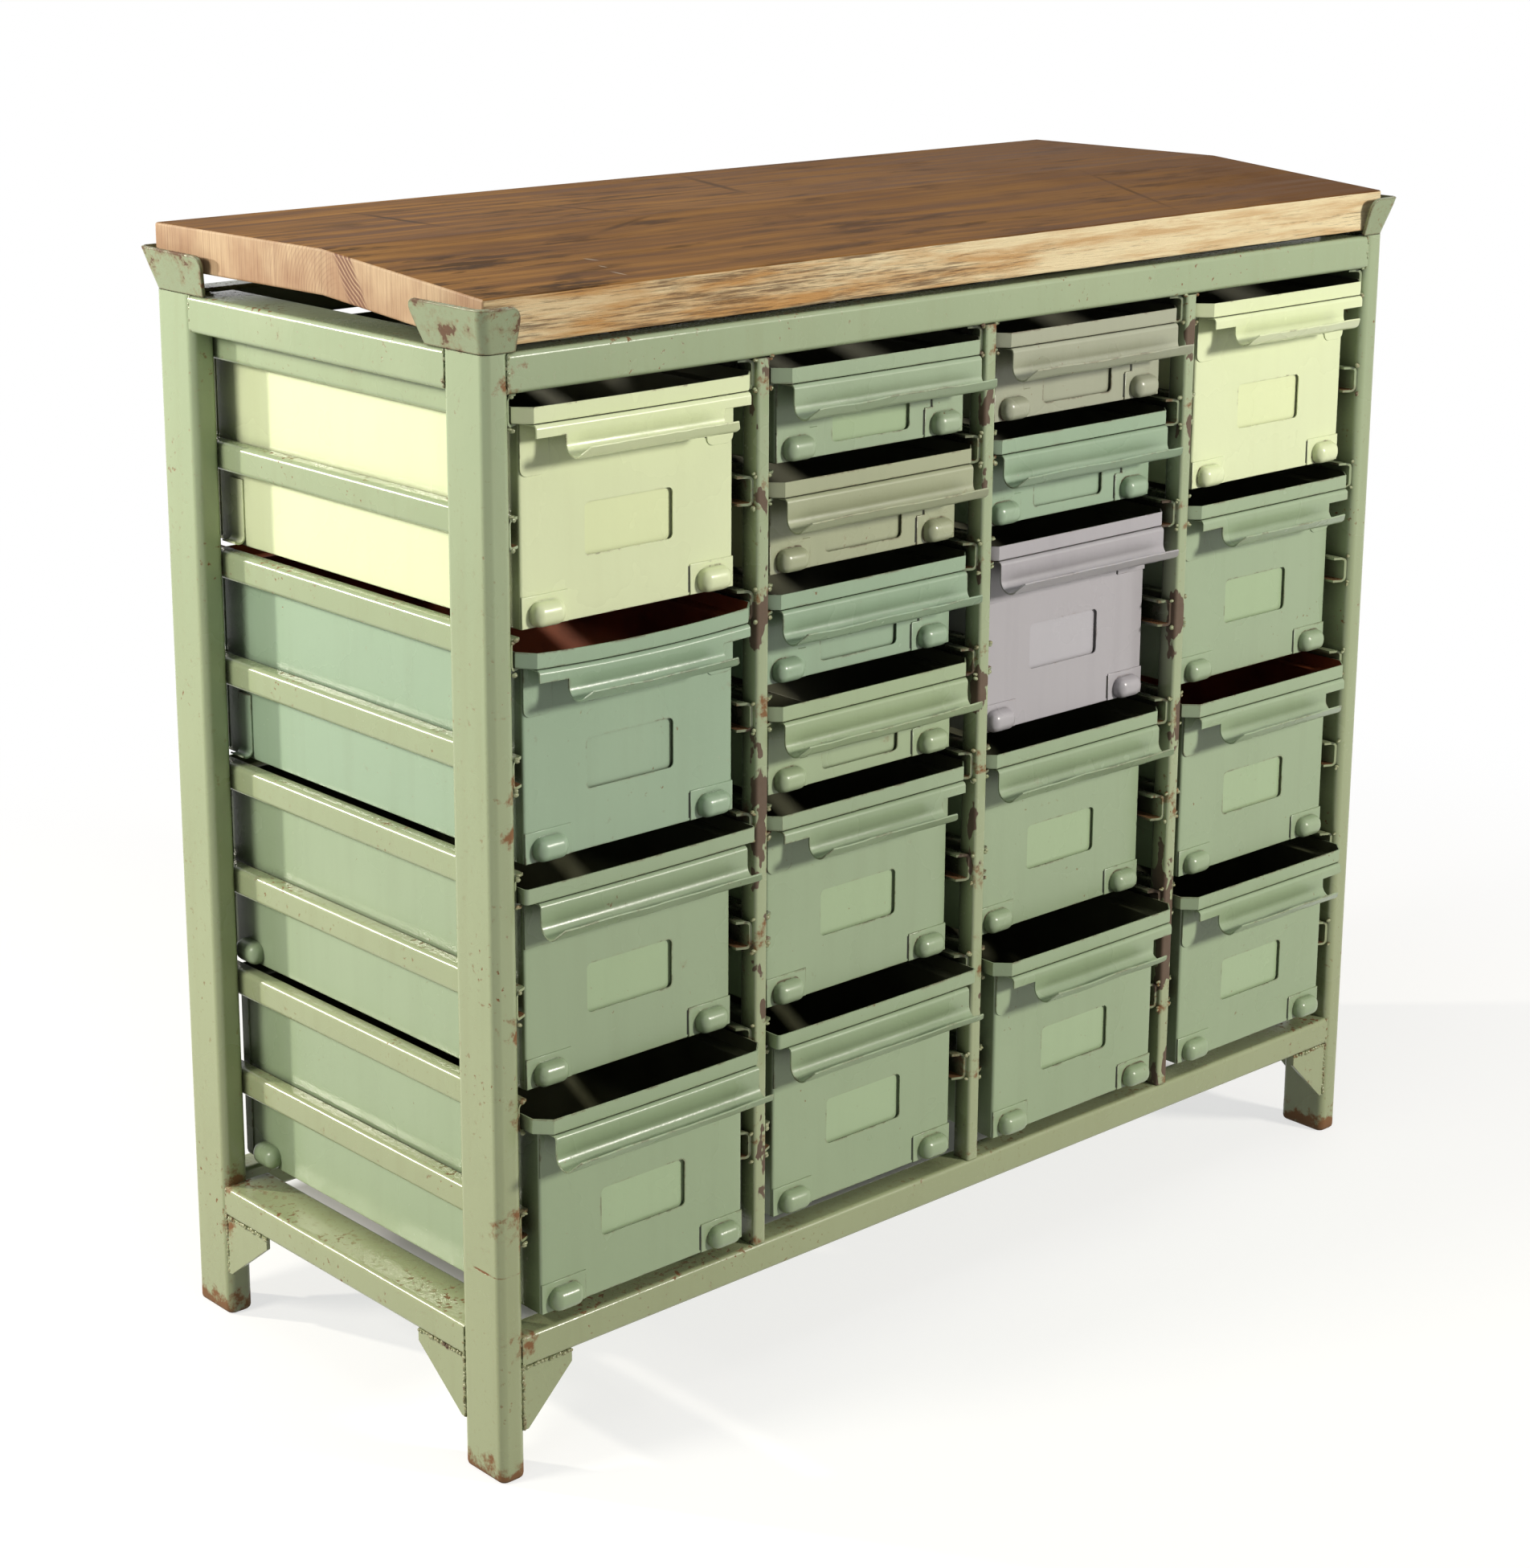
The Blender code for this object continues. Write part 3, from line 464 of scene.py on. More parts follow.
def weldNub(bm, at, along, out, size=1.0):
    made = bmesh.ops.create_uvsphere(bm, u_segments=8, v_segments=5, radius=1.0)["verts"]
    along, out = Vector(along).normalized(), Vector(out).normalized()
    wide = out.cross(along)
    shape = [weld[k] * size * dice.uniform(0.75, 1.25) for k in ("length", "width", "proud")]
    turn = Matrix((along * shape[0] / 2, wide * shape[1] / 2 * 1.3, out * shape[2])).transposed().to_4x4()
    bmesh.ops.transform(bm, matrix=Matrix.Translation(at) @ turn, verts=made)
    for face in {f for v in made for f in v.link_faces}:
        face.material_index = 1


def weldBead(bm, start, end, out, size=1.0):
    start, end = Vector(start), Vector(end)
    count = max(2, int((end - start).length / (weld["step"] * size)))
    for i in range(count + 1):
        wander = Vector([dice.uniform(-weld["wander"], weld["wander"]) for _ in range(3)])
        weldNub(bm, start.lerp(end, i / count) + wander, end - start, out, size)


# Ladders: posts or uprights with channel runners welded between them
ladder = {"postX": 0.0254, "postY": 0.0537, "postRound": 0.0075, "foot": 0.004, "uprightX": 0.0143,
          "uprightY": 0.020, "uprightRound": 0.0032, "levels": 8, "pitch": 0.0972, "topRunner": 0.8905}
runner = {"height": 0.0255, "sheet": 0.0023, "bend": 0.0048, "recess": 0.0045, "lip": 0.0130, "slant": 0.006,
          "weldOut": 0.0012, "weldUp": 0.0005}


def postTube(low, high):
    tube = cubeShape(low, high)
    roundOff(tube, edgesAlong(tube, 2), ladder["postRound"], 5)
    roundOff(tube, [e for e in tube.edges if all(v.co.z < 1e-5 for v in e.verts)], ladder["foot"], 3)
    return tube


def runnerChannel(face, side, low, front, rear):
    bm = bmesh.new()
    edges = [bm.edges.new([bm.verts.new((face + side * runner["lip"], y, low)) for y in (front, rear)])]
    flange = (side * (runner["bend"] - runner["lip"]), 0, 0)
    middle = face + side * runner["bend"]
    edges = pushOn(bm, edges, flange)
    edges = bendOn(bm, edges, (middle, 0, low + runner["bend"]), (0, 1, 0), side * 90, 4)
    edges = pushOn(bm, edges, (0, 0, runner["height"] - 2 * runner["bend"]))
    edges = bendOn(bm, edges, (middle, 0, low + runner["height"] - runner["bend"]), (0, 1, 0), side * 90, 4)
    pushOn(bm, edges, (-flange[0], 0, 0))
    sheetWall(bm, runner["sheet"], (side, 0, 0))
    for v in bm.verts:  # the lips are cut back at their front ends
        if abs(v.co.y - front) < 1e-4:
            v.co.y += runner["slant"] * abs(v.co.x - face) / runner["lip"]
    for f in bm.faces:  # the lower lip is rubbed to rust where the rims slide
        if f.normal.z > 0.8 and f.calc_center_median().z < low + runner["height"] / 2:
            f.material_index = 2
    return bm


def buildLadder(nodeName, sides):
    low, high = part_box(nodeName)
    bm = bmesh.new()
    if len(sides) == 1:
        coat = finishes["frame_paint"]
        outer = low.x if sides[0] > 0 else high.x
        faces = [(outer + sides[0] * ladder["postX"], sides[0])]
        xs = sorted((outer, faces[0][0]))
        for y0, y1 in ((low.y, low.y + ladder["postY"]), (high.y - ladder["postY"], high.y)):
            joinInto(bm, postTube((xs[0], y0, 0), (xs[1], y1, high.z)))
    else:
        coat = dividerEnamel
        middle = (low.x + high.x) / 2
        xs = (middle - ladder["uprightX"] / 2, middle + ladder["uprightX"] / 2)
        faces = [(xs[0], -1), (xs[1], 1)]
        for y0, y1 in ((low.y, low.y + ladder["uprightY"]), (high.y - ladder["uprightY"], high.y)):
            upright = cubeShape((xs[0], y0, low.z), (xs[1], y1, high.z))
            roundOff(upright, edgesAlong(upright, 2), ladder["uprightRound"], 3)
            joinInto(bm, upright)
    front, rear = low.y + runner["recess"], high.y - runner["recess"]
    for face, side in faces:
        for level in range(ladder["levels"]):
            base = ladder["topRunner"] - level * ladder["pitch"]
            joinInto(bm, runnerChannel(face, side, base, front, rear))
            for y, out in ((front - runner["weldOut"], -1), (rear + runner["weldOut"], 1)):
                for z in (base - runner["weldUp"], base + runner["height"] + runner["weldUp"]):
                    for _ in range(dice.choice((1, 2, 2))):
                        at = (face + side * dice.uniform(0.0003, 0.003), y + out * dice.uniform(0, 0.002),
                              z + dice.uniform(-0.002, 0.002))
                        weldNub(bm, at, (side, 0.3, dice.uniform(-0.5, 0.5)), (side * 0.7, out, 0))
    return finishPiece(nodeName + "_welded", bm, [coat, weldEnamel, lipEnamel], "frame", nodeName)


buildLadder("left_side_ladder", [1])
buildLadder("right_side_ladder", [-1])
for number in (1, 2, 3):
    buildLadder("divider_ladder_%d" % number, [-1, 1])
print("ladders welded")

# Rails, and the gussets under the bottom ones
rail = {"into": 0.003, "round": 0.0045, "bottomHeight": 0.0288}
gusset = {"plate": 0.004, "inset": 0.001, "widths": (0.053, 0.066), "drop": 0.057, "toe": 0.006, "heel": 0.011,
          "lap": 0.0006, "edge": 0.0007}
bead = {"short": 0.003, "in": 0.0012, "sunk": 0.0016, "over": 0.018, "sink": 0.0004, "lift": 0.0003,
        "under": 0.0008, "tail": 0.004, "thin": 0.9}


def gussetPlate(axis, end, away, under, outer, out):
    width, drop, lap = gusset["widths"][axis], gusset["drop"], gusset["lap"]
    bm = bmesh.new()
    other = 1 - axis
    verts = []
    for u, z in ((0, lap), (0, -drop), (gusset["toe"], -drop), (width, -gusset["heel"]), (width, lap)):
        at = [0.0, 0.0, under + z]
        at[axis], at[other] = end + away * u, outer - out * gusset["inset"]
        verts.append(bm.verts.new(at))
    made = bmesh.ops.extrude_face_region(bm, geom=[bm.faces.new(verts)])["geom"]
    push = [0.0, 0.0, 0.0]
    push[other] = -out * gusset["plate"]
    bmesh.ops.translate(bm, vec=push, verts=[g for g in made if isinstance(g, bmesh.types.BMVert)])
    bmesh.ops.recalc_face_normals(bm, faces=bm.faces)
    roundOff(bm, bm.edges[:], gusset["edge"], 2)
    return bm


def buildRail(place, level):
    nodeName = place + "_" + level + "_rail"
    low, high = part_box(nodeName)
    axis = 0 if place in ("front", "rear") else 1
    out = 1 if place in ("rear", "right") else -1
    other = 1 - axis
    floor = high.z - rail["bottomHeight"] if level == "bottom" else low.z
    base, peak = low.copy(), high.copy()
    base.z = floor
    base[axis] -= rail["into"]
    peak[axis] += rail["into"]
    bm = cubeShape(base, peak)
    roundOff(bm, edgesAlong(bm, axis), rail["round"], 4)
    outer = high[other] if out > 0 else low[other]
    face = Vector((0, 0, 0))
    face[other] = out
    for end, away in ((low[axis], 1), (high[axis], -1)):
        corners = []
        for z in (floor + bead["short"], high.z - bead["short"]):
            at = Vector((0, 0, z))
            at[axis], at[other] = end - away * (rail["into"] - bead["in"]), outer - out * bead["sunk"]
            corners.append(at)
        weldBead(bm, corners[0], corners[1], face)
        if level == "top":
            inner = corners[1].copy()
            inner[other] -= out * bead["over"]
            inner.z = high.z - bead["sink"]
            weldBead(bm, corners[1], inner, (0, 0, 1))
        else:
            joinInto(bm, gussetPlate(axis, end - away * rail["into"], away, floor, outer, out))
            seam = corners[0].copy()
            seam[other] = outer - out * (gusset["inset"] + bead["lift"])
            tip = seam.copy()
            tip.z = floor - gusset["drop"] + bead["short"]
            weldBead(bm, seam, tip, face, bead["thin"])
            reach = seam.copy()
            reach[axis] = end + away * (gusset["widths"][axis] - bead["tail"])
            reach.z = seam.z = floor - bead["under"]
            weldBead(bm, seam, reach, face, bead["thin"])
    coats = [finishes["frame_paint"], weldEnamel]
    return finishPiece(nodeName + "_tube", bm, coats, "frame", nodeName)


for place in ("front", "rear", "left", "right"):
    for level in ("top", "bottom"):
        buildRail(place, level)
print("rails welded")

# Corner cups: a bent plate with flared wings, on a base plate
cup = {"plate": 0.0035, "height": 0.036, "flare": 0.010, "frontWing": 0.031, "sideWing": 0.075, "spread": 0.012,
       "bend": 0.008, "corner": 0.011, "knock": 0.0012, "inset": 0.002, "base": (0.0006, 0.0041), "ease": 0.0006}


def buildCup(end, side):
    nodeName = end + "_" + side + "_cup"
    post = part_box(side + "_side_ladder")
    sx = 1 if side == "left" else -1
    sy = 1 if end == "front" else -1
    corner = Vector((post[sx < 0].x, post[sy < 0].y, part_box(nodeName)[0].z))
    bm = bmesh.new()
    spots = ((0, cup["sideWing"], 0), (0, 0, 0), (cup["frontWing"], 0, 0))
    line = [bm.verts.new(at) for at in spots]
    edges = [bm.edges.new(line[i:i + 2]) for i in (0, 1)]
    pushOn(bm, edges, (0, 0, cup["height"]))
    for v in bm.verts:
        if v.co.z > 0.001:
            sideEnd, frontEnd = v.co.y > 0.01, v.co.x > 0.01
            v.co.x -= 0 if frontEnd else cup["flare"]
            v.co.y += cup["spread"] if sideEnd else -cup["flare"]
    tops = [v for v in bm.verts if v.co.z > 0.001 and len(v.link_edges) == 2]
    roundOff(bm, tops, cup["corner"], 5, "VERTICES")
    roundOff(bm, [e for e in bm.edges if len(e.link_faces) == 2], cup["bend"], 5)
    slices(bm, 2, [cup["height"] * k / 4 for k in (1, 2, 3)])
    for v in bm.verts:  # knocked about
        push = Vector((noise.noise(v.co * 38 + corner), noise.noise(v.co * 41 - corner), 0))
        v.co += push * cup["knock"] * v.co.z / cup["height"]
    sheetWall(bm, cup["plate"], (1, 0, 0))
    joinInto(bm, cubeShape((cup["inset"], cup["inset"], cup["base"][0]),
                           (ladder["postX"], ladder["postY"], cup["base"][1])))
    bmesh.ops.scale(bm, vec=(sx, sy, 1), verts=bm.verts)
    bmesh.ops.translate(bm, vec=corner, verts=bm.verts)
    bmesh.ops.recalc_face_normals(bm, faces=bm.faces)
    return finishPiece(nodeName + "_bent", bm, [cupEnamel], "frame", nodeName, cup["ease"])


for end in ("front", "rear"):
    for side in ("left", "right"):
        buildCup(end, side)
print("cups bent")

# Plank top
plank = {"thick": 0.038, "edge": 0.0022, "wave": 0.0009, "cuts": 46}
pineTop = waxedPine({"dark": "#694727", "light": "#A87C49", "line": "#4C341C", "oil": "#261A10", "drift": 260,
                     "wander": 0.03, "paint": "#D8D2C4",
                     "cuts": ((-0.223, 0.072, -75, 0.15, 0.005), (-0.26, -0.025, 24, 0.12, 0.005),
                              (-0.008, 0.144, -110, 0.22, 0.006), (0.306, -0.096, -112, 0.25, 0.004),
                              (-0.392, 0.123, -91, 0.18, 0.005)),
                     "drips": ((-0.382, -0.130, -62, 0.016, 0.0016), (-0.391, -0.156, -75, 0.010, 0.0012),
                               (-0.396, -0.182, -80, 0.020, 0.0013))})
pineEdge = sawnPine({"warm": "#C8975A", "pale": "#F2E0B6", "bark": "#5C4022"})
pineEnd = endGrainPine({"dark": "#A07C5A", "light": "#BEA27E", "ring": "#6C4126", "heart": (-0.018, 0.972),
                        "figure": (-0.037, 0.984), "year": 4, "barb": 3.5})


def buildPlank(nodeName, frontTop, rearTop):
    low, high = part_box(nodeName)
    bm = cubeShape(low, high)
    for v in bm.verts:  # slopes the board between its two edges
        top = frontTop if v.co.y < (low.y + high.y) / 2 else rearTop
        v.co.z = top if v.co.z > (low.z + high.z) / 2 else top - plank["thick"]
    isFront = nodeName == "worktop_front_plank"
    joint = high.y if isFront else low.y
    roundOff(bm, [e for e in bm.edges if any(abs(v.co.y - joint) > 1e-5 for v in e.verts)], plank["edge"], 3)
    slices(bm, 0, [low.x + (high.x - low.x) * k / plank["cuts"] for k in range(1, plank["cuts"])])
    for v in bm.verts:  # saw wander along the front
        if v.co.y < low.y + 0.004 and isFront:
            v.co.y += plank["wave"] * (0.6 + noise.noise(Vector((v.co.x * 22, 3.1, v.co.z * 40))))
            v.co.z += 0.4 * plank["wave"] * noise.noise(Vector((v.co.x * 30, 9.7, 0)))
    for face in bm.faces:
        n = face.normal
        hidden = abs(face.calc_center_median().y - joint) < 0.001
        face.material_index = 2 if abs(n.x) > 0.6 else 0 if n.z > 0.6 or hidden else 1
    return finishPiece(nodeName + "_board", bm, [pineTop, pineEdge, pineEnd], "frame", nodeName)


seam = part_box("worktop_front_plank")[1].z
buildPlank("worktop_front_plank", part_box("worktop_front_plank")[0].z + plank["thick"], seam)
buildPlank("worktop_rear_plank", seam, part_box("worktop_rear_plank")[0].z + plank["thick"])
print("planks laid")

# Drawers: folded boxes with a stepped rim, a label window and stacking bosses
drawer = {"sheet": 0.0012, "band": 0.0135, "ledge": 0.0120, "frontLedge": 0.0200, "chamfer": 0.0125,
          "plain": 0.004, "corner": 0.003, "fold": 0.0017, "rimHalf": 0.1235, "boxHalf": 0.1115, "depth": 0.4715,
          "flap": 0.013, "large": 0.1809, "small": 0.0837, "window": (0.092, 0.043), "windowRound": 0.0045,
          "sill": {"large": 0.051, "small": 0.0105}, "pocket": 0.0018, "margin": 0.011, "plate": 0.0012}
boss = {"length": 0.033, "height": 0.0205, "proud": 0.0122, "round": 0.0088, "inset": 0.024, "rearInset": 0.041,
        "lift": 0.0112, "plate": (0.047, 0.026), "plateThick": 0.0013, "edge": 0.0006}
tab = {"seam": 0.0013, "notched": (0.029, 0.043, 0.007), "full": (0.038, 0.043, 0.0006), "thick": 0.0013}
strap = {"width": 0.020, "height": 0.050, "sheet": 0.0015, "roll": 0.0055}


def folded(bm):  # edges where the sheet turns
    return [e for e in bm.edges if len(e.link_faces) == 2 and e.calc_face_angle() > 0.3
            and abs(e.verts[0].co.z - e.verts[1].co.z) < 1e-6]


def drawerShell(size, corner, steps):
    height = drawer[size]
    band, wall, rear = drawer["band"], drawer["frontLedge"], drawer["depth"] - drawer["ledge"]
    bm = cubeShape((-drawer["boxHalf"], wall, -height), (drawer["boxHalf"], rear, -band))
    bmesh.ops.delete(bm, geom=[f for f in bm.faces if f.normal.z > 0.9], context="FACES_ONLY")
    rim = pushOn(bm, [e for e in bm.edges if e.is_boundary], (0, 0, 0))
    for v in {v for e in rim for v in e.verts}:
        v.co.x = math.copysign(drawer["rimHalf"], v.co.x)
        v.co.y = 0.0 if v.co.y < rear / 2 else drawer["depth"]
    pushOn(bm, rim, (0, 0, band))
    fronts = [e for e in edgesAlong(bm, 2)
              if min(v.co.z for v in e.verts) > -band - 1e-5 and e.verts[0].co.y < 0.01]
    roundOff(bm, fronts, corner, steps)
    rest = [e for e in edgesAlong(bm, 2) if e.verts[0].co.y > rear
            or e.verts[0].co.y > 0.013 and max(v.co.z for v in e.verts) < -band + 1e-5]
    roundOff(bm, rest, drawer["corner"], 3)
    roundOff(bm, folded(bm), drawer["fold"], 2, clamp=False)
    slices(bm, 0, [drawer["rimHalf"] * k / 6 for k in range(-5, 6)])
    bmesh.ops.recalc_face_normals(bm, faces=bm.faces)
    front = max(bm.faces, key=lambda f: f.calc_area() if f.calc_center_median().y < wall + 0.002 else 0)
    if front.normal.y > 0:
        bmesh.ops.reverse_faces(bm, faces=bm.faces)
    mesh = meshFrom(size + "Shell", bm)
    shell = putIn("shaping", mesh)
    thick = shell.modifiers.new("sheet", "SOLIDIFY")
    thick.thickness = drawer["sheet"]
    thick.offset = -1.0
    thick.use_even_offset = True
    thick.material_offset = 1
    for slot in range(2):
        mesh.materials.append(None)
    wide, tall = drawer["window"]
    sill = drawer["sill"][size] - height
    cut = cubeShape((-wide / 2, wall - 0.01, sill), (wide / 2, wall + 0.004, sill + tall))
    roundOff(cut, edgesAlong(cut, 1), drawer["windowRound"], 4)
    cutter = putIn("cutting", meshFrom("cutting", cut))
    hole = shell.modifiers.new("window", "BOOLEAN")
    hole.operation = "DIFFERENCE"
    hole.object = cutter
    made = bpy.data.meshes.new_from_object(shell.evaluated_get(bpy.context.evaluated_depsgraph_get()))
    bpy.data.objects.remove(shell)
    bpy.data.objects.remove(cutter)
    for v in made.vertices:  # no spikes under the rim's corners, where it slides
        if max(abs(v.co.x) - drawer["boxHalf"], v.co.y - rear) > drawer["ledge"] / 2:
            v.co.z = max(v.co.z, -band)
    inner = [p.material_index for p in made.polygons]
    made.materials.clear()
    made.polygons.foreach_set("material_index", inner)
    return made


def labelPocket(size):
    height = drawer[size]
    wide, tall = drawer["window"]
    sill = drawer["sill"][size] - height
    inner = drawer["frontLedge"] + drawer["sheet"]
    half = wide / 2 + drawer["margin"]
    low = max(sill - drawer["margin"], -height + 2 * drawer["sheet"])
    bm = cubeShape((-half, inner, low), (half, inner + drawer["pocket"] + drawer["plate"], sill + tall + 0.006))
    bmesh.ops.delete(bm, geom=[f for f in bm.faces if f.normal.y < -0.9 or f.normal.z > 0.9],
                     context="FACES_ONLY")
    bmesh.ops.delete(bm, geom=[e for e in bm.edges if not e.link_faces], context="EDGES")
    roundOff(bm, [e for e in bm.edges if len(e.link_faces) == 2], drawer["plate"], 2)
    bmesh.ops.solidify(bm, geom=bm.faces[:], thickness=drawer["plate"])
    bmesh.ops.recalc_face_normals(bm, faces=bm.faces)
    return bm


def bossDome(at, turn):
    half = Vector((boss["length"] / 2, boss["proud"], boss["height"] / 2))
    bm = cubeShape(-half, half)
    roundOff(bm, bm.edges[:], boss["round"], 5)
    cutPlane(bm, (0, 0.0003, 0), (0, 1, 0), clear_outer=True)
    bmesh.ops.rotate(bm, cent=(0, 0, 0), matrix=Matrix.Rotation(turn, 3, "Z"), verts=bm.verts)
    bmesh.ops.translate(bm, vec=at, verts=bm.verts)
    return bm


def patchPlate(centreX, low, wide, tall, radius, thick):  # a flap lying on the drawer front
    wall = drawer["frontLedge"]
    bm = cubeShape((centreX - wide / 2, wall - thick, low), (centreX + wide / 2, wall + 0.0002, low + tall))
    if radius > 0.001:
        roundOff(bm, [e for e in edgesAlong(bm, 1) if e.verts[0].co.z < low + 0.001], radius, 5)
    roundOff(bm, [e for e in bm.edges if all(v.co.y < wall - thick / 2 for v in e.verts)], thick * 0.6, 2)
    return bm


def seamLine(x, low, tall):  # a near-black strip of painted shade in the open joint beside a plate
    wall = drawer["frontLedge"]
    bm = cubeShape((x - tab["seam"], wall - 0.0003, low), (x, wall + 0.0002, low + tall))
    for f in bm.faces:
        f.material_index = 1
    return bm


def sideStrap(side, height):  # a riveted strap that rolls outwards at its foot
    bm = bmesh.new()
    y = drawer["depth"] - drawer["ledge"] - boss["rearInset"] + strap["width"] / 2
    x = side * (drawer["boxHalf"] + strap["sheet"])
    foot = -height + 0.004 + strap["roll"]
    verts = [bm.verts.new((x, y - w, foot + strap["height"])) for w in (0, strap["width"])]
    edges = pushOn(bm, [bm.edges.new(verts)], (0, 0, -strap["height"]))
    edges = bendOn(bm, edges, (x + side * strap["roll"], 0, foot), (0, 1, 0), -side * 100, 6)
    pushOn(bm, edges, (side * 0.003, 0, 0.0012))
    sheetWall(bm, strap["sheet"], (-side, 0, 0))
    return bm


def fittings(size, kind):
    height = drawer[size]
    bm = bmesh.new()
    half, rear = drawer["boxHalf"], drawer["depth"] - drawer["ledge"]
    inner = half - boss["edge"]
    top = -drawer["band"] - 0.002
    plateWide, plateTall = boss["plate"]
    tabWide, tabTall, tabRound = tab[kind]
    for side in (-1, 1):
        at = (side * (half - boss["inset"]), drawer["frontLedge"], -height + boss["lift"])
        joinInto(bm, bossDome(at, 0.0))
        joinInto(bm, patchPlate(side * (inner - plateWide / 2), -height + boss["edge"], plateWide, plateTall,
                                0.0, boss["plateThick"]))
        joinInto(bm, patchPlate(side * (inner - tabWide / 2), top - tabTall, tabWide, tabTall, tabRound,
                                tab["thick"]))
        if side > 0:
            joinInto(bm, seamLine(inner - plateWide, -height + 0.003, plateTall - 0.004))
            joinInto(bm, seamLine(inner - tabWide, top - tabTall + tabRound, tabTall - tabRound))
        xs = sorted((side * (half - 0.0003), side * (half + 0.0009)))
        joinInto(bm, cubeShape((xs[0], rear - drawer["flap"], -height + 0.004),
                               (xs[1], rear - 0.0028, -drawer["band"] - 0.003)))
        if kind == "notched":
            joinInto(bm, sideStrap(side, height))
        else:
            at = (side * half, rear - boss["rearInset"], -height + boss["lift"])
            joinInto(bm, bossDome(at, side * math.pi / 2))
    bmesh.ops.recalc_face_normals(bm, faces=bm.faces)
    return bm


# Pulls: a strip with a flange under the rim, a web and a gutter for the fingers
pull = {"half": 0.111, "sheet": 0.0016, "forward": 0.003, "shoulder": 0.004, "drop": 0.0165, "gutter": 0.010,
        "sweep": 50, "lip": 0.009, "trim": 0.006, "notch": 0.029, "notchDrop": 0.0105, "knock": 0.0011,
        "gap": 0.0003, "ease": 0.0004}


def pullStrip(kind, seed):
    top = -drawer["band"] - pull["gap"]
    web = -pull["forward"]
    half, shoulder, drop = pull["half"], pull["shoulder"], pull["drop"]
    bm = bmesh.new()
    edges = [bm.edges.new([bm.verts.new((x, drawer["frontLedge"] - pull["gap"], top)) for x in (-half, half)])]
    edges = pushOn(bm, edges, (0, web + shoulder - drawer["frontLedge"] + pull["gap"], 0))
    edges = bendOn(bm, edges, (0, web + shoulder, top - shoulder), (1, 0, 0), 90, 4)
    edges = pushOn(bm, edges, (0, 0, shoulder - drop))
    edges = bendOn(bm, edges, (0, web - pull["gutter"], top - drop), (1, 0, 0), -90 - pull["sweep"], 9)
    sweep = math.radians(pull["sweep"])
    pushOn(bm, edges, (0, -pull["lip"] * math.cos(sweep), pull["lip"] * math.sin(sweep)))
    reach = half
    if kind == "notched":
        reach = half - pull["notch"]
        slices(bm, 2, [top - pull["notchDrop"]])
        slices(bm, 0, [-reach, reach])
        spots = [(f, f.calc_center_median()) for f in bm.faces]
        away = [f for f, at in spots
                if abs(at.x) > reach and (at.z < top - pull["notchDrop"] or at.y < web - 0.0005)]
        bmesh.ops.delete(bm, geom=away, context="FACES")
    lipY = min(v.co.y for v in bm.verts)
    for v in bm.verts:
        if v.co.y < lipY + 1e-5 and abs(v.co.x) > reach - 1e-5:
            v.co.x = math.copysign(reach - pull["trim"], v.co.x)
    slices(bm, 0, [half * k / 11 for k in range(-10, 11)])
    for v in bm.verts:  # bends and knocks of use, most at the lip
        free = max(0.0, min(1.0, (web - v.co.y) / 0.02))
        knock = noise.noise(Vector((v.co.x * 24, seed * 7.3, 0)))
        knock += 0.5 * noise.noise(Vector((v.co.x * 70, seed * 3.1, 5)))
        v.co.z += pull["knock"] * free * knock
        v.co.y += 0.5 * pull["knock"] * free * noise.noise(Vector((v.co.x * 30, seed * 5.7, 9)))
    sheetWall(bm, pull["sheet"], (0, 0, -1))
    return bm


# how each drawer differs: the sag of its rim in mm, its inside and the form of its rim's corners
usage = {"a1": {"sag": 0.6}, "a2": {"sag": 5.0, "inside": "primed"}, "a3": {"sag": 1.0, "form": "plain"},
         "a4": {"sag": 1.0}, "b6": {"sag": 0.8, "form": "plain"}, "c5": {"sag": 0.5}, "d3": {"inside": "primed"}}
sagging = {"usual": 0.25, "back": 0.05, "down": 0.06}
shells = {size: drawerShell(size, drawer["chamfer"], 1) for size in ("large", "small")}
shells["plain"] = drawerShell("large", drawer["plain"], 3)  # rims with rounded corners
notched = ("a1", "a2", "b5", "c5", "d1", "d2", "d3", "d4")
names = sorted(body[7:] for body in frame["bodies"] if body.startswith("drawer_"))


def useDrawer(points, wear):  # a rim that has been leaned on sags in its middle
    sag = wear.get("sag", sagging["usual"]) / 1000
    for p in points:
        near = max(0.0, 1 - max(0.0, p.co.y) / sagging["back"]) * max(0.0, 1 + p.co.z / sagging["down"])
        p.co.z -= sag * near * max(0.0, 1 - (p.co.x / drawer["rimHalf"]) ** 2)


for seed, name in enumerate(names):
    body = "drawer_" + name
    low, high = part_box(body + "_box")
    place = Vector(((low.x + high.x) / 2, low.y, high.z))
    place.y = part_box(body + "_pull")[1].y - drawer["frontLedge"] + pull["gap"]
    size = "large" if high.z - low.z > 0.12 else "small"
    kind = "notched" if name in notched else "full"
    slot = slotOf[body + "_box"]
    coat = finishes[slot]
    wear = usage.get(name, {})
    shell = shells[wear.get("form", size)].copy()
    useDrawer(shell.vertices, wear)
    shell.transform(Matrix.Translation(place))
    finishPiece(body + "_shell", shell, [coat, insides[wear.get("inside", "oiled")]], body, body + "_box")
    strip = pullStrip(kind, seed + 1)
    useDrawer(strip.verts, wear)
    bmesh.ops.translate(strip, vec=place, verts=strip.verts)
    finishPiece(body + "_strip", strip, [coat], body, body + "_pull", pull["ease"])
    for ending, bm, finish in (("_pocket", labelPocket(size), labelEnamel.get(slot, coat)),
                               ("_fittings", fittings(size, kind), coat)):
        bmesh.ops.translate(bm, vec=place, verts=bm.verts)
        finishPiece(body + ending, bm, [finish, seamShade], body)
for shell in shells.values():
    bpy.data.meshes.remove(shell)
print("drawers hung:", len(names))

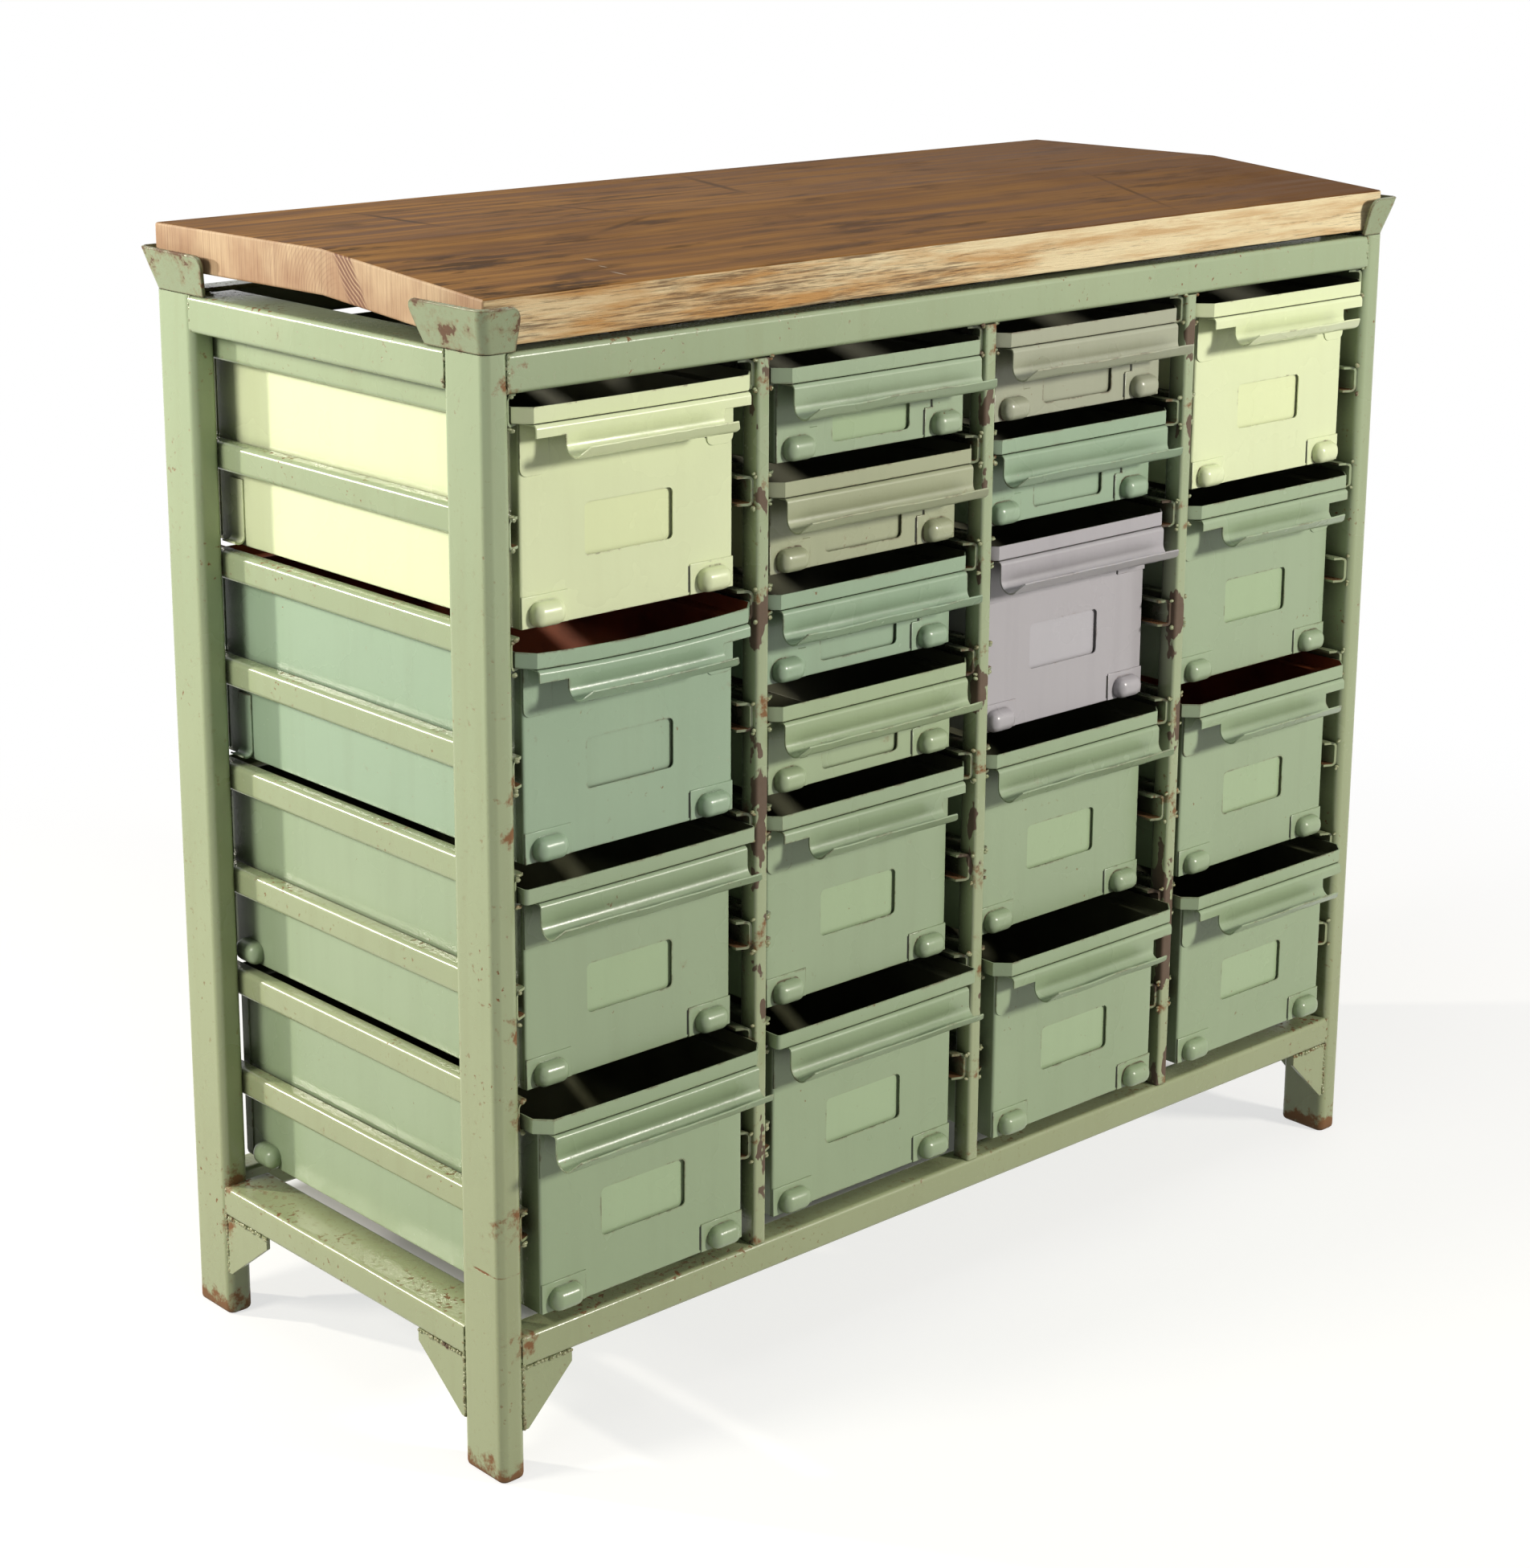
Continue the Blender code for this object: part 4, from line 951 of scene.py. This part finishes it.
# Floor: pale studio paper that runs out into the white surround, with a painted shadow under the rack where its glow
# is dimmed
paper = {"radius": 4.0, "shade": "#A6A6A4", "glow": 0.68, "fadeFrom": 0.8, "fadeTo": 2.0,
         "under": (0.09, 0.19, 0.0), "underSize": (0.50, 0.225, 1.0), "underGlow": 0.05}
white = (1, 1, 1, 1)


def seenRays(tree):  # the rays that show a surface, not those that carry light to the rack
    rays = node(tree, "LightPath").node.outputs
    seen = rays["Is Camera Ray"]
    for kind in ("Is Glossy Ray", "Is Transmission Ray"):
        seen = node(tree, "Math", {0: seen, 1: rays[kind]}, operation="MAXIMUM")
    return seen


def studioFloor():
    bm = bmesh.new()
    bmesh.ops.create_circle(bm, cap_ends=True, segments=96, radius=paper["radius"])
    floor = putIn("studioFloor", meshFrom("studioFloor", bm))
    material, tree, place = newMaterial("studioPaper")
    away = node(tree, "VectorMath", {0: place}, "Value", operation="LENGTH")
    fade = node(tree, "MapRange", {0: away, 1: paper["fadeFrom"], 2: paper["fadeTo"]},
                interpolation_type="SMOOTHSTEP")
    seen = seenRays(tree)
    fade = node(tree, "Math", {0: fade, 1: seen}, operation="MULTIPLY")
    lift = node(tree, "Math", {0: seen, 1: paper["glow"]}, operation="MULTIPLY")
    # painted shadow: the paper's glow is dimmed almost to nothing in a patch under the rack
    under = node(tree, "Mapping", {"Vector": place, "Location": paper["under"], "Scale": paper["underSize"]},
                 vector_type="TEXTURE")
    under = node(tree, "VectorMath", {0: under}, operation="ABSOLUTE")
    under = node(tree, "SeparateXYZ", {0: under}).node.outputs
    under = node(tree, "Math", {0: under["X"], 1: under["Y"]}, operation="MAXIMUM")
    under = node(tree, "MapRange", {0: under, 1: 0.86, 2: 1.0, 3: paper["underGlow"]},
                 interpolation_type="SMOOTHSTEP")
    lift = node(tree, "Math", {0: lift, 1: under}, operation="MULTIPLY")
    layCoats(material, paper["shade"], [], {"Roughness": 0.9, "Emission Strength": lift, "Emission Color": white})
    shine = node(tree, "Emission", {"Color": white, "Strength": 1.0})
    both = node(tree, "MixShader", {0: fade, 1: tree.nodes["Principled BSDF"].outputs[0], 2: shine})
    plug(tree, tree.nodes["Material Output"], {"Surface": both})
    floor.data.materials.append(material)


studioFloor()
world = bpy.data.worlds.new("studio")
scene.world = world
world.use_nodes = True
sky = world.node_tree
level = node(sky, "MapRange", {0: seenRays(sky), 3: 0.08, 4: 1.0})
plug(sky, sky.nodes["Background"], {"Color": white, "Strength": level})

# Lamps: a softbox ahead on the right, a broad one on the left, a harder lamp behind it and one overhead
lamps = {"softbox": {"at": (1.6, -3.4, 1.9), "aim": (0.0, -0.2, 0.75), "size": 0.6, "watts": 116, "tint": "#FFFAF0"},
         "leftBox": {"at": (-2.6, 0.5, 1.75), "aim": (-0.5, 0.0, 0.8), "size": 0.8, "watts": 43, "tint": "#FFFAF0"},
         "rearLamp": {"at": (-2.3, 2.66, 1.6), "aim": (-0.5, 0.0, 0.8), "size": 0.16, "watts": 88, "tint": "#FFF8EA"},
         "overhead": {"at": (-0.6, -0.6, 3.0), "aim": (0.0, 0.0, 0.9), "size": 1.4, "watts": 11, "tint": "#FFFFFF"}}
for name, lamp in lamps.items():
    light = bpy.data.lights.new(name, "AREA")
    light.shape = "DISK"
    light.size = lamp["size"]
    light.energy = lamp["watts"]
    light.color = linear(lamp["tint"])[:3]
    aim = Vector(lamp["aim"]) - Vector(lamp["at"])
    turn = aim.to_track_quat("-Z", "Y").to_matrix().to_4x4()
    putIn(name, light).matrix_world = Matrix.Translation(lamp["at"]) @ turn

# Camera, at the angle that the frame's corners give; the image is 1904 by 1951
view = {"at": (-1.9769, -2.0898, 1.3481), "azimuth": -42.36, "elevation": 14.49, "roll": 0.295, "focal": 3900.8,
        "shift": -200.0, "tall": 1951.0}
azimuth, elevation, roll = (math.radians(view[k]) for k in ("azimuth", "elevation", "roll"))
back = Vector((math.sin(azimuth) * math.cos(elevation), -math.cos(azimuth) * math.cos(elevation),
               math.sin(elevation)))
across = (-back).cross(Vector((0, 0, 1))).normalized()
upward = across.cross(-back)
across, upward = (across * math.cos(roll) + upward * math.sin(roll),
                  upward * math.cos(roll) - across * math.sin(roll))
lens = bpy.data.cameras.new("camera")
lens.sensor_width = 36.0
lens.lens = view["focal"] * lens.sensor_width / view["tall"]
lens.shift_y = view["shift"] / view["tall"]
camera = putIn("camera", lens)
camera.matrix_world = Matrix.Translation(view["at"]) @ Matrix((across, upward, back)).transposed().to_4x4()
scene.camera = camera
